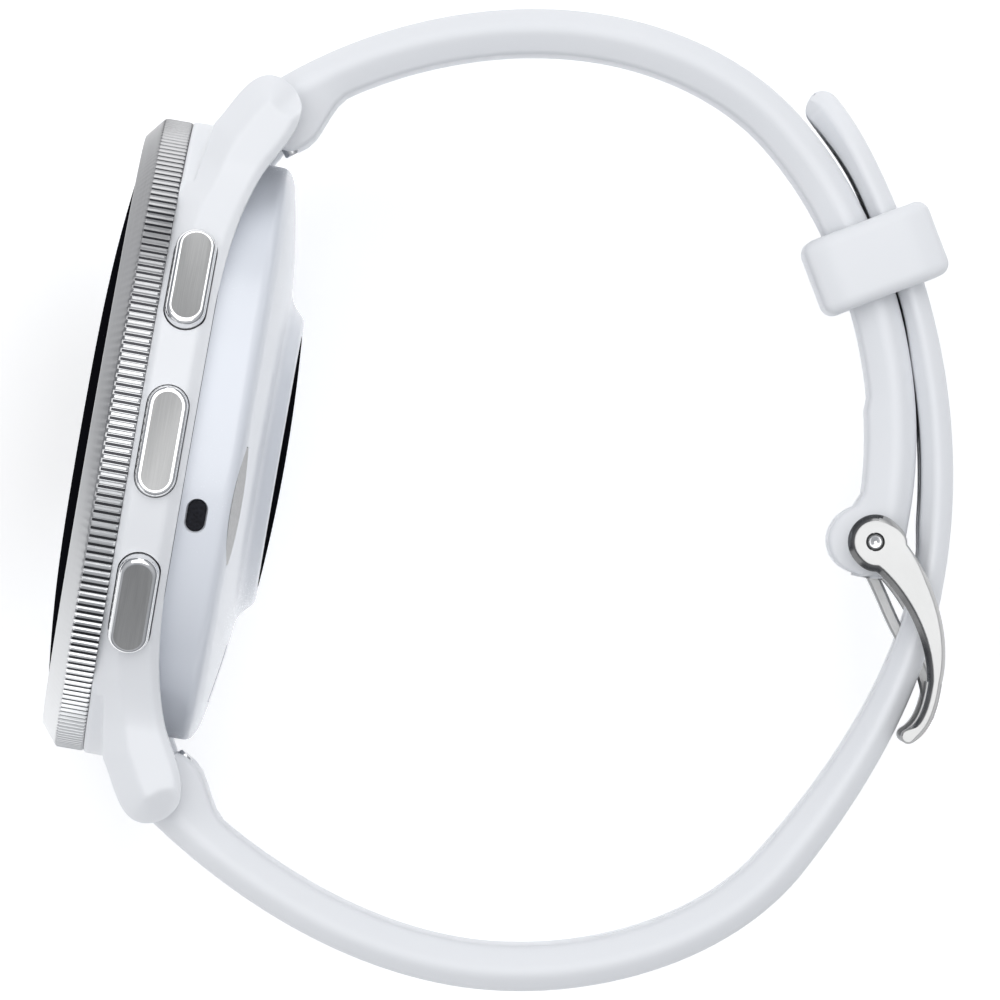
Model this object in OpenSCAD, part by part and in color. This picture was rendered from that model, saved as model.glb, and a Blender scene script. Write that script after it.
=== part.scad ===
// Round GPS sports watch on a buckled silicone strap.
// X runs from the display glass to the wrist, +Y is 12 o'clock and +Z is 3 o'clock,
// so the three buttons face up. The origin is the centre of the display glass.

/* [Case] */
// Outer diameter of the polymer case wall
case_d = 45.2; // [40:0.2:54.4]
// Radial wall of the case
case_wall = 1.5; // [1.2:0.1:2.5]
// Length of the case wall behind the bezel
wall_len = 3.95; // [3.8:0.05:6]
// Depth of the back cover behind the case wall
back_len = 6.2; // [5.8:0.1:8]
// Wall of the back cover
back_wall = 1.2; // [0.9:0.1:1.6]
// Diameter of the sensor window puck
puck_d = 20.2; // [16:0.2:24]

/* [Bezel and display] */
// Radial step from the case wall in to the knurled ring
bezel_step = 0.1; // [0.05:0.05:0.5]
// Length of the bezel ring
bezel_len = 2.8; // [2.4:0.1:4]
// Radial width of the smooth front chamfer
bezel_lip = 1.75; // [1.2:0.05:2.5]
// Number of ribs round the knurled edge
rib_count = 232; // [60:4:300]
// Depth of the knurled ribs
rib_depth = 0.12; // [0.05:0.01:0.25]
// Thickness of the display glass
glass_t = 1.6; // [1.2:0.1:2.4]
// Radius of the flat middle of the glass
glass_flat_r = 6; // [3:0.5:12]
// Radius of the arc that the glass edge falls away on
glass_arc_r = 94; // [60:1:200]

/* [Buttons] */
// Length of each button round the case
button_l = 7.85; // [6:0.05:9.6]
// Width of each button along the case
button_w = 2.9; // [2.4:0.05:3.4]
// Angle between neighbouring buttons
button_step = 30.6; // [28:0.1:40]
// How far a button stands proud of the case
button_proud = 0.65; // [0.5:0.05:1.2]
// How far a button travels when pressed
button_travel = 0.4; // [0.2:0.05:0.5]
// Diameter of the button stem
stem_d = 1.6; // [1.2:0.1:2]

/* [Lugs and spring bars] */
// Gap between the two lugs of a pair
lug_gap = 22; // [18:0.5:27]
// Width of one lug
lug_w = 3.4; // [2.6:0.1:4.5]
// Distance of the spring bar outside the case wall
bar_out = 1.6; // [1.5:0.1:2.4]
// Diameter of the spring bar tube
bar_d = 1.8; // [1.5:0.1:2.2]
// Diameter of the spring bar tips
tip_d = 1; // [0.8:0.1:1.2]
// Travel of the quick-release knob
release_travel = 1.3; // [1:0.1:1.6]

/* [Strap] */
// Distance from the sensor glass to the buckle pin
wrist_gap = 41.85; // [34:0.05:60]
// Thickness of the short strap and of the lug half of the long strap
strap_t = 3.2; // [2.4:0.1:4]
// Thickness of the long strap's tail
tail_t = 2; // [1.6:0.1:3]
// Height of the crown of the short strap above its spring bar
crown_rise = 9.13; // [6:0.01:14]
// Depth of the crown of the long strap below its spring bar
crown_drop = 8.35; // [6:0.05:14]
// Length of an adjustment hole along the strap
hole_l = 3.7; // [2.6:0.1:3.8]
// Width of an adjustment hole
hole_w = 2.4; // [2:0.1:3.5]
// Distance between the adjustment holes
hole_pitch = 4.4; // [4.2:0.1:7]

/* [Keeper and buckle] */
// Distance of the keeper's middle from the end of the short strap
keeper_back = 17.7; // [10:0.1:24]
// Length of the keeper along the strap
keeper_l = 5.5; // [4:0.1:8]
// Wall of the keeper
keeper_wall = 1.75; // [1:0.05:2.5]
// Diameter of the buckle pin
pin_d = 1.2; // [1:0.1:1.6]
// Diameter of the strap boss round the buckle pin
boss_d = 5.2; // [4.4:0.1:6]
// Diameter of the round head of each buckle arm
arm_head_d = 3.86; // [3:0.02:5]
// Thickness of a buckle arm across the strap
arm_t = 1.6; // [1.2:0.1:2.4]
// Thickness of the buckle's crossbar
crossbar_t = 1.06; // [0.8:0.02:1.6]
// Width of the tongue
tongue_w = 1.6; // [1.2:0.1:1.8]
// Thickness of the tongue
tongue_t = 0.9; // [0.7:0.05:1.1]

/* [Hidden] */
$fn = 96;

// Clearances
fit = 0.06;          // running fit, on the radius
seat = 0.05;         // between pieces that sit in each other and stay put
side_gap = 0.15;     // strap to lug, and strap to buckle arm
band_gap = 0.13;     // between two layers of strap
keeper_gap = 0.25;   // keeper to strap

// Colours
polymer = [0.9, 0.91, 0.94];
silicone = [0.82, 0.83, 0.86];
steel = [0.75, 0.76, 0.78];
bare_steel = [0.6, 0.61, 0.63];
black = [0.05, 0.05, 0.06];
green_board = [0.1, 0.28, 0.18];
gold = [0.8, 0.65, 0.3];

// Stations along X
case_r = case_d / 2;
bezel_r = case_r - bezel_step;
glass_r = bezel_r - bezel_lip;
rim_x = pow(glass_r - glass_flat_r, 2) / (2 * glass_arc_r);  // front of the glass at its rim
bezel_front = rim_x + seat;
bezel_back = bezel_front + bezel_len;
wall_back = bezel_back + wall_len;
puck_x = wall_back + back_len;
lens_rise = 0.38;                     // dome of the sensor glass
case_t = puck_x + lens_rise;
button_x = bezel_back + 0.495 * wall_len;

// Radii inside the case
bore_r = case_r - case_wall;
ledge_r = glass_r - 1.35;             // inner edge of the bezel's glass seat
adhesive_t = 0.15;
panel_t = 0.8;
panel_r = glass_r - 2.3;
frame_x = glass_t + panel_t + 0.1;    // front of the inner frame
frame_floor = 0.6;
board_r = bore_r - 4.6;
board_t = 0.8;
board_x = frame_x + 2;
boss_ring_r = bore_r - 2.7;           // circle that the case screws stand on
cover_r = case_r - 2.1;               // outside of the back cover
puck_r = puck_d / 2;

// Buttons, measured outwards from the case's axis
button_angles = [button_step, 0, -button_step];
cap_base = case_r - 1.2;
cap_top = case_r + button_proud;
cap_rim = 0.4;
stem_r = stem_d / 2;
pad_in = bore_r - 1.4;                // inner face of the pad that guides a stem
stem_in = pad_in - 0.75;

// Lugs and spring bars
bar_x = bezel_back + 5.3;
bar_y = case_r + bar_out;
bar_r = bar_d / 2;
tip_r = tip_d / 2;
tip_reach = 1;                        // how far a tip stands into its lug
tube_half = lug_gap / 2 - 0.1;
spring_floor = -2;                    // where the spring sits in the tube
knob_z = 0.32 * lug_gap;
knob_r = 0.55;
knob_len = 3.5;
knob_angle = -53.5;                   // direction of the knob, from +X
chin = [1.9, -0.8];                   // thick lip of the strap end, from the bar
chin_r = 1.5;
strap_boss_r = 1.8;                   // strap end round the bar
strap_w = lug_gap - 2 * side_gap;

// Buckle
pin_x = case_t + wrist_gap;
pin_y = 1.73;
pin_r = pin_d / 2;
boss_r = boss_d / 2;
lobe = [-1, -0.1];                    // second round of the boss, on the wrist side
lobe_r = boss_r - 0.33;
arm_in = strap_w / 2 + side_gap;
arm_out = arm_in + arm_t;

// ---- curves -------------------------------------------------------------
// A curve is a list of stations [x, y, heading]. Between two stations it is a cubic
// that leaves and arrives along their headings.

function cubic(a, b, t) =
    let (run = norm([b.x - a.x, b.y - a.y]),
         leave = run * [cos(a[2]), sin(a[2])],
         arrive = run * [cos(b[2]), sin(b[2])])
    (2 * t ^ 3 - 3 * t ^ 2 + 1) * [a.x, a.y] + (t ^ 3 - 2 * t ^ 2 + t) * leave
    + (3 * t ^ 2 - 2 * t ^ 3) * [b.x, b.y] + (t ^ 3 - t ^ 2) * arrive;

function curve(stations, steps) = [
    for (i = [0 : len(stations) - 2], k = [0 : steps - 1])
        cubic(stations[i], stations[i + 1], k / steps),
    cubic(stations[len(stations) - 2], stations[len(stations) - 1], 1)
];

function heading_at(pts, i) =
    let (a = pts[max(i - 1, 0)], b = pts[min(i + 1, len(pts) - 1)])
    atan2(b.y - a.y, b.x - a.x);

function beside(pts, i, offset) =
    let (h = heading_at(pts, i))
    pts[i] + offset * [-sin(h), cos(h)];

// Outline of a band round a curve, whose half thickness runs from t0 to t1.
function band(pts, half) = concat(
    [for (i = [0 : len(pts) - 1]) beside(pts, i, half[i])],
    [for (i = [len(pts) - 1 : -1 : 0]) beside(pts, i, -half[i])]
);

function even(pts, half) = [for (p = pts) half];

// Distance along a curve to each of its points.
function distances(pts) = [
    for (i = 0, s = 0; i < len(pts);
         s = s + (i < len(pts) - 1 ? norm(pts[i + 1] - pts[i]) : 0), i = i + 1) s
];

function along(pts, run, s) = [
    lookup(s, [for (i = [0 : len(pts) - 1]) [run[i], pts[i].x]]),
    lookup(s, [for (i = [0 : len(pts) - 1]) [run[i], pts[i].y]])
];

function heading_along(pts, run, s) =
    let (a = along(pts, run, s - 1.5), b = along(pts, run, s + 1.5))
    atan2(b.y - a.y, b.x - a.x);

module bar_of(outline, width) {
    translate([0, 0, -width / 2]) linear_extrude(width) polygon(outline);
}

// ---- strap curves -------------------------------------------------------
span = pin_x - bar_x;
band_steps = 14;

short_stations = [
    [bar_x, bar_y, 43.7],
    [bar_x + 0.4735 * span, bar_y + crown_rise, 0],
    [bar_x + 0.7516 * span, bar_y + crown_rise - 4.03, -37.4],
    [pin_x + 0.5, pin_y + 2.27, -90]
];
short_path = curve(short_stations, band_steps);

short_run = distances(short_path);
keeper_s = short_run[3 * band_steps] - keeper_back;
keeper_at = along(short_path, short_run, keeper_s);
keeper_heading = heading_along(short_path, short_run, keeper_s);
layer_offset = (strap_t + tail_t) / 2 + band_gap;
tail_at_keeper = keeper_at + layer_offset * [-sin(keeper_heading), cos(keeper_heading)];

long_stations = [
    [bar_x, -bar_y, -35.8],
    [bar_x + 0.49 * span, -bar_y - crown_drop, 0],
    [bar_x + 0.946 * span, -bar_y + 2.55, 59.9],
    [pin_x + boss_r + tail_t / 2 + 0.67, 0, 90],
    [tail_at_keeper.x, tail_at_keeper.y, keeper_heading + 180],
    [tail_at_keeper.x - 7.65, tail_at_keeper.y + 9.95, 140]
];
long_path = curve(long_stations, band_steps);
long_run = distances(long_path);

function taper(i) =
    let (u = min(max(i / band_steps - 2, 0), 1))
    (strap_t + (tail_t - strap_t) * u) / 2;
long_half = [for (i = [0 : len(long_path) - 1]) taper(i)];

// The tongue crosses the strap in the hole at this distance along it.
tongue_hole_s = long_run[3 * band_steps] - 5.3;
holes_towards_lug = 7;
holes_towards_tip = 3;

tongue_at = along(long_path, long_run, tongue_hole_s);
tongue_tip = [pin_x + 6.1, pin_y - 11.5, -82];
tongue_stations = [
    [pin_x - 0.45, pin_y - 1.5, -45],
    [tongue_at.x, tongue_at.y, -42],
    tongue_tip
];
arm_stations = [[pin_x, pin_y, -30], [pin_x + 5.8, pin_y - 9.03, -88]];
crossbar_stations = [
    [pin_x + 5.8, pin_y - 9.03, -88],
    [pin_x + 4.65, pin_y - 13.05, -142]
];

// ---- shapes -------------------------------------------------------------
// Turns a profile of [radius, x] points about the case's axis.
module turned(profile) {
    rotate([0, 90, 0]) rotate_extrude() polygon(profile);
}

module disc(r, x0, x1) {
    translate([x0, 0, 0]) rotate([0, 90, 0]) cylinder(r = r, h = x1 - x0);
}

module ring(r_in, r_out, x0, x1) {
    turned([[r_in, x0], [r_out, x0], [r_out, x1], [r_in, x1]]);
}

module block(x, y, z) {
    translate([x[0], y[0], z[0]]) cube([x[1] - x[0], y[1] - y[0], z[1] - z[0]]);
}

module rod_z(x, y, r, z0, z1) {
    translate([x, y, z0]) cylinder(r = r, h = z1 - z0);
}

// A flat pill, its length along Y, standing from z0 to z1.
module pill(length, width, z0, z1) {
    straight = length - width;
    translate([0, 0, z0]) linear_extrude(z1 - z0) union() {
        square([width, straight], center = true);
        translate([0, straight / 2]) circle(width / 2);
        translate([0, -straight / 2]) circle(width / 2);
    }
}

// Places children so that +Z points outwards through a button.
module at_button(i) {
    translate([button_x, 0, 0]) rotate([-button_angles[i], 0, 0]) children();
}

// Mirrors children to the 6 o'clock end when side is -1.
module at_end(side) {
    if (side > 0) children();
    else mirror([0, 1, 0]) children();
}

// Places children at the four case screws.
module at_screws() {
    for (a = [45 : 90 : 315])
        translate([0, boss_ring_r * sin(a), boss_ring_r * cos(a)]) children();
}

screw_r = 0.7;
screw_head_r = 1.2;
screw_boss_r = 1.6;
screw_seat_x = wall_back + 2.4;
screw_end_x = bezel_back + 1.2;
screw_head_t = 0.6;

// ---- display and bezel --------------------------------------------------
module display_glass() {
    steps = 10;
    rim = [
        for (k = [0 : steps])
            let (r = glass_flat_r + (glass_r - glass_flat_r) * k / steps)
            [r, pow(r - glass_flat_r, 2) / (2 * glass_arc_r)]
    ];
    color(black)
        turned(concat([[0, glass_t], [0, 0]], rim, [[glass_r, glass_t]]));
}

module display_adhesive() {
    color(black) ring(panel_r + 0.4, glass_r - 0.1, glass_t, glass_t + adhesive_t);
}

module display_panel() {
    color([0.08, 0.08, 0.1]) disc(panel_r, glass_t, glass_t + panel_t);
}

flex_y = board_r - 1.2;
module display_flex() {
    back = glass_t + panel_t;
    color([0.7, 0.45, 0.1]) {
        block([back, back + 0.08], [flex_y - 4, flex_y + 0.15], [-3, 3]);
        block([back, board_x], [flex_y, flex_y + 0.15], [-3, 3]);
    }
}

module bezel_ring() {
    ledge_x = glass_t + adhesive_t;
    tooth = 360 / rib_count;
    color(steel) {
            turned([
                [glass_r + seat, bezel_front], [bezel_r - rib_depth, bezel_front + 1.15],
                [bezel_r - rib_depth, bezel_back], [glass_r + seat, bezel_back]
            ]);
            translate([bezel_front + 1.2, 0, 0]) rotate([0, 90, 0])
                linear_extrude(bezel_back - bezel_front - 1.3) difference() {
                    polygon([
                        for (i = [0 : rib_count - 1], k = [0, 1])
                            (bezel_r - k * rib_depth) * [cos((i + k / 2) * tooth), sin((i + k / 2) * tooth)]
                    ]);
                    circle(glass_r + seat);
                }
            ring(ledge_r, glass_r + 2 * seat, ledge_x, bezel_back);
    }
}

// ---- case ---------------------------------------------------------------
// Side outline of the case wall with its two lugs: [x, y, heading] stations.
lug_stations = [
    [bezel_back + 1.6, case_r, 55],
    [bezel_back + 5.1, case_r + 4.05, 0],
    [bezel_back + 7.5, case_r + 1.9, -88],
    [bezel_back + 5.4, case_r - 3.3, -110],
    [wall_back, case_r - 12.4, -92]
];

lug_root = [bezel_back + 0.8, case_r - 5.4];

module case_side(foot) {
    top = concat([foot], curve(lug_stations, 8));
    polygon(concat(top, [for (i = [len(top) - 1 : -1 : 0]) [top[i].x, -top[i].y]]));
}

// What every button needs cut out of the case: a pocket for its cap and a stem bore.
module button_cuts() {
    for (i = [0 : 2])
        at_button(i) {
            pill(button_l + 0.3, button_w + 0.3, cap_base - button_travel - 0.05, case_r + 2);
            cylinder(r = stem_r + fit, h = case_r);
        }
}

flange_t = 0.8;
flange_r = bore_r - 1.2;

module mid_case() {
    length = 9;
    lug_out = lug_gap / 2 + lug_w;
    color(polymer) {
        difference() {
            union() {
                intersection() {
                    translate([0, 0, -case_r])
                        linear_extrude(case_d) case_side([bezel_back, case_r]);
                    disc(case_r, bezel_back, bezel_back + length);
                }
                translate([0, 0, -lug_out]) linear_extrude(2 * lug_out) case_side(lug_root);
            }
            disc(bore_r, bezel_back - 1, wall_back - flange_t);
            disc(flange_r, bezel_back - 1, wall_back + 1);
            disc(cover_r + seat, wall_back, wall_back + length);
            block([wall_back, wall_back + length], [-case_d, case_d], [-lug_gap / 2, lug_gap / 2]);
            for (s = [-1, 1]) translate([0, s * case_d, 0])
                block([0, wall_back + 1], [-case_r, case_r], [-lug_gap / 2, lug_gap / 2]);
            for (s = [-1, 1])
                rod_z(bar_x, s * bar_y, tip_r + fit,
                      -lug_gap / 2 - tip_reach - 0.1, lug_gap / 2 + tip_reach + 0.1);
            button_cuts();
        }
        difference() {
            union() {
                for (i = [0 : 2])
                    at_button(i) pill(button_l + 1.2, button_w + 0.7, pad_in, bore_r + 0.3);
                intersection() {
                    at_screws() disc(screw_boss_r, bezel_back, wall_back);
                    disc(bore_r + 0.3, bezel_back, wall_back);
                }
            }
            button_cuts();
            at_screws() disc(screw_r, screw_end_x, wall_back + 1);
        }
    }
}

// ---- back cover ---------------------------------------------------------
gasket_t = 0.2;
cover_x = wall_back + gasket_t;
lens_r = puck_r - 0.9;
lens_seat_x = puck_x - 0.85;
socket_y = [-cover_r + 3, -cover_r + 7.1];
socket_z = 4.2;
socket_x = wall_back + 3.3;
contact_span = [-24, 1.8];            // angle from 3 o'clock towards 12 o'clock
vent_angle = -13.4;

module back_gasket() {
    color(black) ring(flange_r + 0.05, cover_r - 0.05, wall_back, cover_x);
}

module contact_strip(extra) {
    rotate([0, 90, 0]) rotate([0, 0, 180 - contact_span[1] - extra])
        rotate_extrude(angle = contact_span[1] - contact_span[0] + 2 * extra)
            polygon([
                [cover_r - 1.1, wall_back + 3.6], [cover_r - 0.95, wall_back + 3.95],
                [cover_r - 2.6, wall_back + 4.25], [cover_r - 2.8, wall_back + 3.9]
            ]);
}

module at_vent() {
    translate([wall_back + 1.25, 0, 0]) rotate([-vent_angle, 0, 0]) children();
}

module case_back() {
    color([0.86, 0.88, 0.92]) difference() {
        union() {
            turned([
                [cover_r - back_wall, cover_x], [cover_r, cover_x], [cover_r, wall_back + 3.3],
                [cover_r - 1, wall_back + 3.85], [cover_r - 2.8, wall_back + 4.2],
                [cover_r - 3.4, wall_back + 4.6], [cover_r - 6, wall_back + 4.85],
                [puck_r + 1.2, wall_back + 5.05], [puck_r, puck_x],
                [lens_r + seat, puck_x], [lens_r + seat, lens_seat_x],
                [lens_r - 0.8, lens_seat_x], [lens_r - 0.8, wall_back + 3.85],
                [cover_r - 6.3, wall_back + 3.65], [cover_r - 3.7, wall_back + 3.4],
                [cover_r - 3, wall_back + 3], [cover_r - back_wall, wall_back + 2.6]
            ]);
            intersection() {
                at_screws() disc(screw_boss_r, cover_x, screw_seat_x + 1.2);
                disc(cover_r - 0.3, cover_x, puck_x);
            }
        }
        at_screws() {
            disc(screw_r + seat, cover_x - 1, puck_x);
            disc(screw_head_r + seat, screw_seat_x, puck_x);
        }
        block([wall_back, puck_x], [socket_y[0] - seat, socket_y[1] + seat],
              [-socket_z - seat, socket_z + seat]);
        contact_strip(0.3);
        at_vent() pill(2.3 + 2 * seat, 1.3 + 2 * seat, cover_r - 0.8, cover_r + 1);
    }
}

module case_screws() {
    color(bare_steel) at_screws() {
        disc(screw_r - 0.03, screw_end_x + 0.2, screw_seat_x + 0.1);
        difference() {
            disc(screw_head_r, screw_seat_x, screw_seat_x + screw_head_t);
            translate([screw_seat_x + 0.25, 0, 0]) rotate([0, 90, 0])
                cylinder(r = 0.45, h = 1, $fn = 6);
        }
    }
}

module sensor_glass() {
    steps = 8;
    color(black) turned(concat(
        [[0, lens_seat_x], [lens_r, lens_seat_x]],
        [for (k = [0 : steps])
            let (r = lens_r * (1 - k / steps))
            [r, puck_x + lens_rise * (1 - pow(r / lens_r, 2))]]
    ));
}

module sensor_board() {
    color(green_board) disc(lens_r - 1.2, lens_seat_x - 1.6, lens_seat_x - 0.9);
}

module sensor_leds() {
    color([0.85, 0.95, 0.85]) for (a = [0 : 90 : 270]) rotate([a, 0, 0])
        block([lens_seat_x - 0.9, lens_seat_x - 0.4], [2.2, 3.6], [-0.7, 0.7]);
}

module sensor_diodes() {
    color([0.15, 0.15, 0.3]) for (a = [45 : 90 : 315]) rotate([a, 0, 0])
        block([lens_seat_x - 0.9, lens_seat_x - 0.4], [4.6, 6.4], [-1.2, 1.2]);
}

module wrist_contact() {
    color(steel) contact_strip(0);
}

module charge_socket() {
    color(black) block([socket_x - 0.8, socket_x + 0.5], socket_y, [-socket_z, socket_z]);
}

module charge_pins() {
    mid = (socket_y[0] + socket_y[1]) / 2;
    color(gold) for (k = [-1.5 : 1 : 1.5])
        translate([0, mid, 1.8 * k]) disc(0.55, socket_x + 0.5, socket_x + 0.65);
}

module vent_port() {
    color(black) at_vent() pill(2.3, 1.3, cover_r - 0.75, cover_r - 0.1);
}

// ---- inside the case ----------------------------------------------------
shield_top = frame_x + frame_floor + 0.2;
cell_x = board_x + board_t + 1.5;      // front of the battery and of what lies beside it

module inner_frame() {
    color([0.2, 0.2, 0.22]) difference() {
        union() {
            disc(ledge_r - 0.1, frame_x, frame_x + frame_floor);
            ring(board_r - 1.5, board_r - 0.5, frame_x, board_x);
        }
        block([0, wall_back], [flex_y - 0.4, flex_y + 0.6], [-3.4, 3.4]);
    }
}

module main_board() {
    color(green_board) disc(board_r, board_x, board_x + board_t);
}

module board_shields() {
    color(bare_steel) {
        block([shield_top, board_x], [-8.5, 4.5], [-9, 2]);
        block([shield_top, board_x], [-8.5, 8.5], [3, 10]);
        block([shield_top, board_x], [5.5, 11], [-9, 2]);
    }
}

module button_switches() {
    top = stem_in - button_travel - 0.1;
    color([0.3, 0.3, 0.32]) for (i = [0 : 2])
        at_button(i) {
            block([-0.65, 0.65], [-1.8, 1.8], [top - 2.6, top - 0.3]);
            translate([0, 0, top - 0.3]) cylinder(r = 0.5, h = 0.3);
        }
}

module battery() {
    color([0.55, 0.57, 0.6]) translate([cell_x, 0, 0]) rotate([0, 90, 0])
        linear_extrude(3.4) union() {
            square([20, 21], center = true);
            square([16, 25], center = true);
            for (y = [-1, 1], z = [-1, 1]) translate([8 * z, 10.5 * y]) circle(2);
        }
}

module vibration_motor() {
    color(bare_steel) translate([cell_x, 0, -bore_r + 6.5]) disc(3.6, 0, 2.7);
}

module speaker() {
    color(black) block([cell_x, cell_x + 2.6], [-bore_r + 4.4, -13], [-5.5, 5.5]);
}

module microphone() {
    color(gold) block([cell_x, cell_x + 1.1], [13.4, 16.2], [-1.9, 1.9]);
}

module gps_antenna() {
    color(gold) rotate([0, 90, 0]) rotate([0, 0, -62])
        rotate_extrude(angle = 60) polygon([
            [bore_r - 0.9, bezel_back + 0.4], [bore_r - 0.5, bezel_back + 0.4],
            [bore_r - 0.5, bezel_back + 2.6], [bore_r - 0.9, bezel_back + 2.6]
        ]);
}

// ---- buttons ------------------------------------------------------------
seal_a = (pad_in + cap_base - button_travel) / 2;   // middle of the seal's groove
clip_a = pad_in - 0.4;

module button(i) {
    color(steel) at_button(i) {
        pill(button_l, button_w, cap_base, cap_top - 0.3);
        pill(button_l - 2 * cap_rim, button_w - 2 * cap_rim, cap_base, cap_top);
        difference() {
            translate([0, 0, stem_in]) cylinder(r = stem_r, h = cap_base - stem_in);
            stem_groove(seal_a - 0.3, 0.6);
            stem_groove(clip_a, 0.3);
        }
    }
}

module stem_groove(a, width) {
    translate([0, 0, a]) difference() {
        cylinder(r = stem_r + 1, h = width);
        translate([0, 0, -1]) cylinder(r = stem_r - 0.36, h = width + 2);
    }
}

module button_seal(i) {
    color(black) at_button(i) translate([0, 0, seal_a])
        rotate_extrude() translate([stem_r - 0.155, 0]) circle(0.195, $fn = 32);
}

module button_clip(i) {
    color(bare_steel) at_button(i) translate([0, 0, clip_a + 0.05]) difference() {
        cylinder(r = stem_r + 0.6, h = 0.2);
        translate([0, 0, -1]) cylinder(r = stem_r - 0.34, h = 3);
        translate([-0.35, 0, -1]) cube([0.7, 3, 3]);
    }
}

module button_top() { button(0); }
module button_middle() { button(1); }
module button_bottom() { button(2); }
module button_top_seal() { button_seal(0); }
module button_middle_seal() { button_seal(1); }
module button_bottom_seal() { button_seal(2); }
module button_top_clip() { button_clip(0); }
module button_middle_clip() { button_clip(1); }
module button_bottom_clip() { button_clip(2); }

// ---- spring bars --------------------------------------------------------
knob_slot = release_travel + 2 * knob_r + 0.3;

// Places children on the bar's axis, with +X along the knob.
module at_bar(side) {
    at_end(side) translate([bar_x, bar_y, 0]) rotate([0, 0, knob_angle]) children();
}

module spring_bar(side) {
    color(bare_steel) at_bar(side) {
        difference() {
            rod_z(0, 0, bar_r, -tube_half, tube_half);
            rod_z(0, 0, tip_r + fit, spring_floor, tube_half + 1);
            block([0, bar_r + 1], [-knob_r - fit, knob_r + fit],
                  [knob_z + knob_r + 0.1 - knob_slot, knob_z + knob_r + 0.1]);
        }
        rod_z(0, 0, tip_r, -lug_gap / 2 - tip_reach, -tube_half + 1);
    }
}

module release_knob(side) {
    color(bare_steel) at_bar(side) {
        rod_z(0, 0, tip_r, knob_z - 1.2, lug_gap / 2 + tip_reach);
        translate([0, 0, knob_z]) rotate([0, 90, 0]) cylinder(r = knob_r, h = knob_len);
    }
}

// A coil spring, swept as one closed tube round the bar's axis.
module bar_spring(side) {
    turns = 9;
    per_turn = 10;
    sides = 5;
    wire_r = 0.09;
    coil_r = tip_r - 0.12;
    z0 = spring_floor + wire_r;
    z1 = knob_z - 1.2 - wire_r;
    n = turns * per_turn;
    rings = [
        for (i = [0 : n])
            let (a = 360 * i / per_turn)
            [for (k = [0 : sides - 1])
                let (b = 360 * k / sides, r = coil_r + wire_r * cos(b))
                [r * cos(a), r * sin(a), z0 + (z1 - z0) * i / n + wire_r * sin(b)]]
    ];
    faces = concat(
        [[for (k = [sides - 1 : -1 : 0]) k]],
        [for (i = [0 : n - 1], k = [0 : sides - 1])
            [i * sides + k, i * sides + (k + 1) % sides,
             (i + 1) * sides + (k + 1) % sides, (i + 1) * sides + k]],
        [[for (k = [0 : sides - 1]) n * sides + k]]
    );
    color(bare_steel) at_bar(side)
        polyhedron(
            [for (ring = rings, p = ring) p],
            [for (f = faces) [for (j = [len(f) - 1 : -1 : 0]) f[j]]]
        );
}

module spring_bar_12() { spring_bar(1); }
module spring_bar_6() { spring_bar(-1); }
module release_knob_12() { release_knob(1); }
module release_knob_6() { release_knob(-1); }
module bar_spring_12() { bar_spring(1); }
module bar_spring_6() { bar_spring(-1); }

// ---- strap --------------------------------------------------------------
module strap_end(side) {
    rod_z(bar_x, side * bar_y, strap_boss_r, -strap_w / 2, strap_w / 2);
    rod_z(bar_x + chin.x, side * (bar_y + chin.y), chin_r, -strap_w / 2, strap_w / 2);
}

module strap_end_cuts(side) {
    at_bar(side) {
        rod_z(0, 0, bar_r + fit, -strap_w, strap_w);
        block([0, 6], [-knob_r - 0.1, knob_r + 0.1],
              [knob_z + knob_r + 0.15 - knob_slot - 0.1, knob_z + knob_r + 0.2]);
    }
}

module strap_short() {
    slot = tongue_w + 1.2;
    color(silicone) difference() {
        union() {
            bar_of(band(short_path, even(short_path, strap_t / 2)), strap_w);
            strap_end(1);
            rod_z(pin_x, pin_y, boss_r, -strap_w / 2, strap_w / 2);
            rod_z(pin_x + lobe.x, pin_y + lobe.y, lobe_r, -strap_w / 2, strap_w / 2);
        }
        strap_end_cuts(1);
        rod_z(pin_x, pin_y, pin_r + seat, -strap_w, strap_w);
        rod_z(pin_x, pin_y, boss_r + 1, -slot / 2, slot / 2);
    }
}

module adjustment_hole(s) {
    at = along(long_path, long_run, s);
    half_run = (hole_l - hole_w) / 2;
    translate([at.x, at.y, 0]) rotate([0, 0, heading_along(long_path, long_run, s)])
        rotate([90, 0, 0]) translate([0, 0, -strap_t]) linear_extrude(2 * strap_t) union() {
            square([hole_l - hole_w, hole_w], center = true);
            for (e = [-1, 1]) translate([e * half_run, 0]) circle(hole_w / 2);
        }
}

module strap_long() {
    color(silicone) difference() {
        union() {
            bar_of(band(long_path, long_half), strap_w);
            strap_end(-1);
        }
        strap_end_cuts(-1);
        for (k = [-holes_towards_lug : holes_towards_tip])
            adjustment_hole(tongue_hole_s + k * hole_pitch);
    }
}

// ---- keeper and buckle --------------------------------------------------
module keeper_loop() {
    low = -strap_t / 2 - keeper_gap;
    high = strap_t / 2 + band_gap + tail_t + keeper_gap;
    r = 0.9;
    w = keeper_l - 2 * r;
    h = high - low + 2 * keeper_wall - 2 * r;
    half_z = strap_w / 2 + keeper_gap + keeper_wall - 0.2;
    color(silicone) translate([keeper_at.x, keeper_at.y, 0]) rotate([0, 0, keeper_heading])
        difference() {
            translate([0, (low + high) / 2, -half_z]) linear_extrude(2 * half_z) union() {
                square([w, h + 2 * r], center = true);
                square([w + 2 * r, h], center = true);
                for (x = [-1, 1], y = [-1, 1]) translate([x * w / 2, y * h / 2]) circle(r);
            }
            block([-keeper_l, keeper_l], [low, high],
                  [-strap_w / 2 - keeper_gap, strap_w / 2 + keeper_gap]);
        }
}

module buckle_pin() {
    color(bare_steel) rod_z(pin_x, pin_y, pin_r, -arm_out, arm_out);
}

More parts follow.
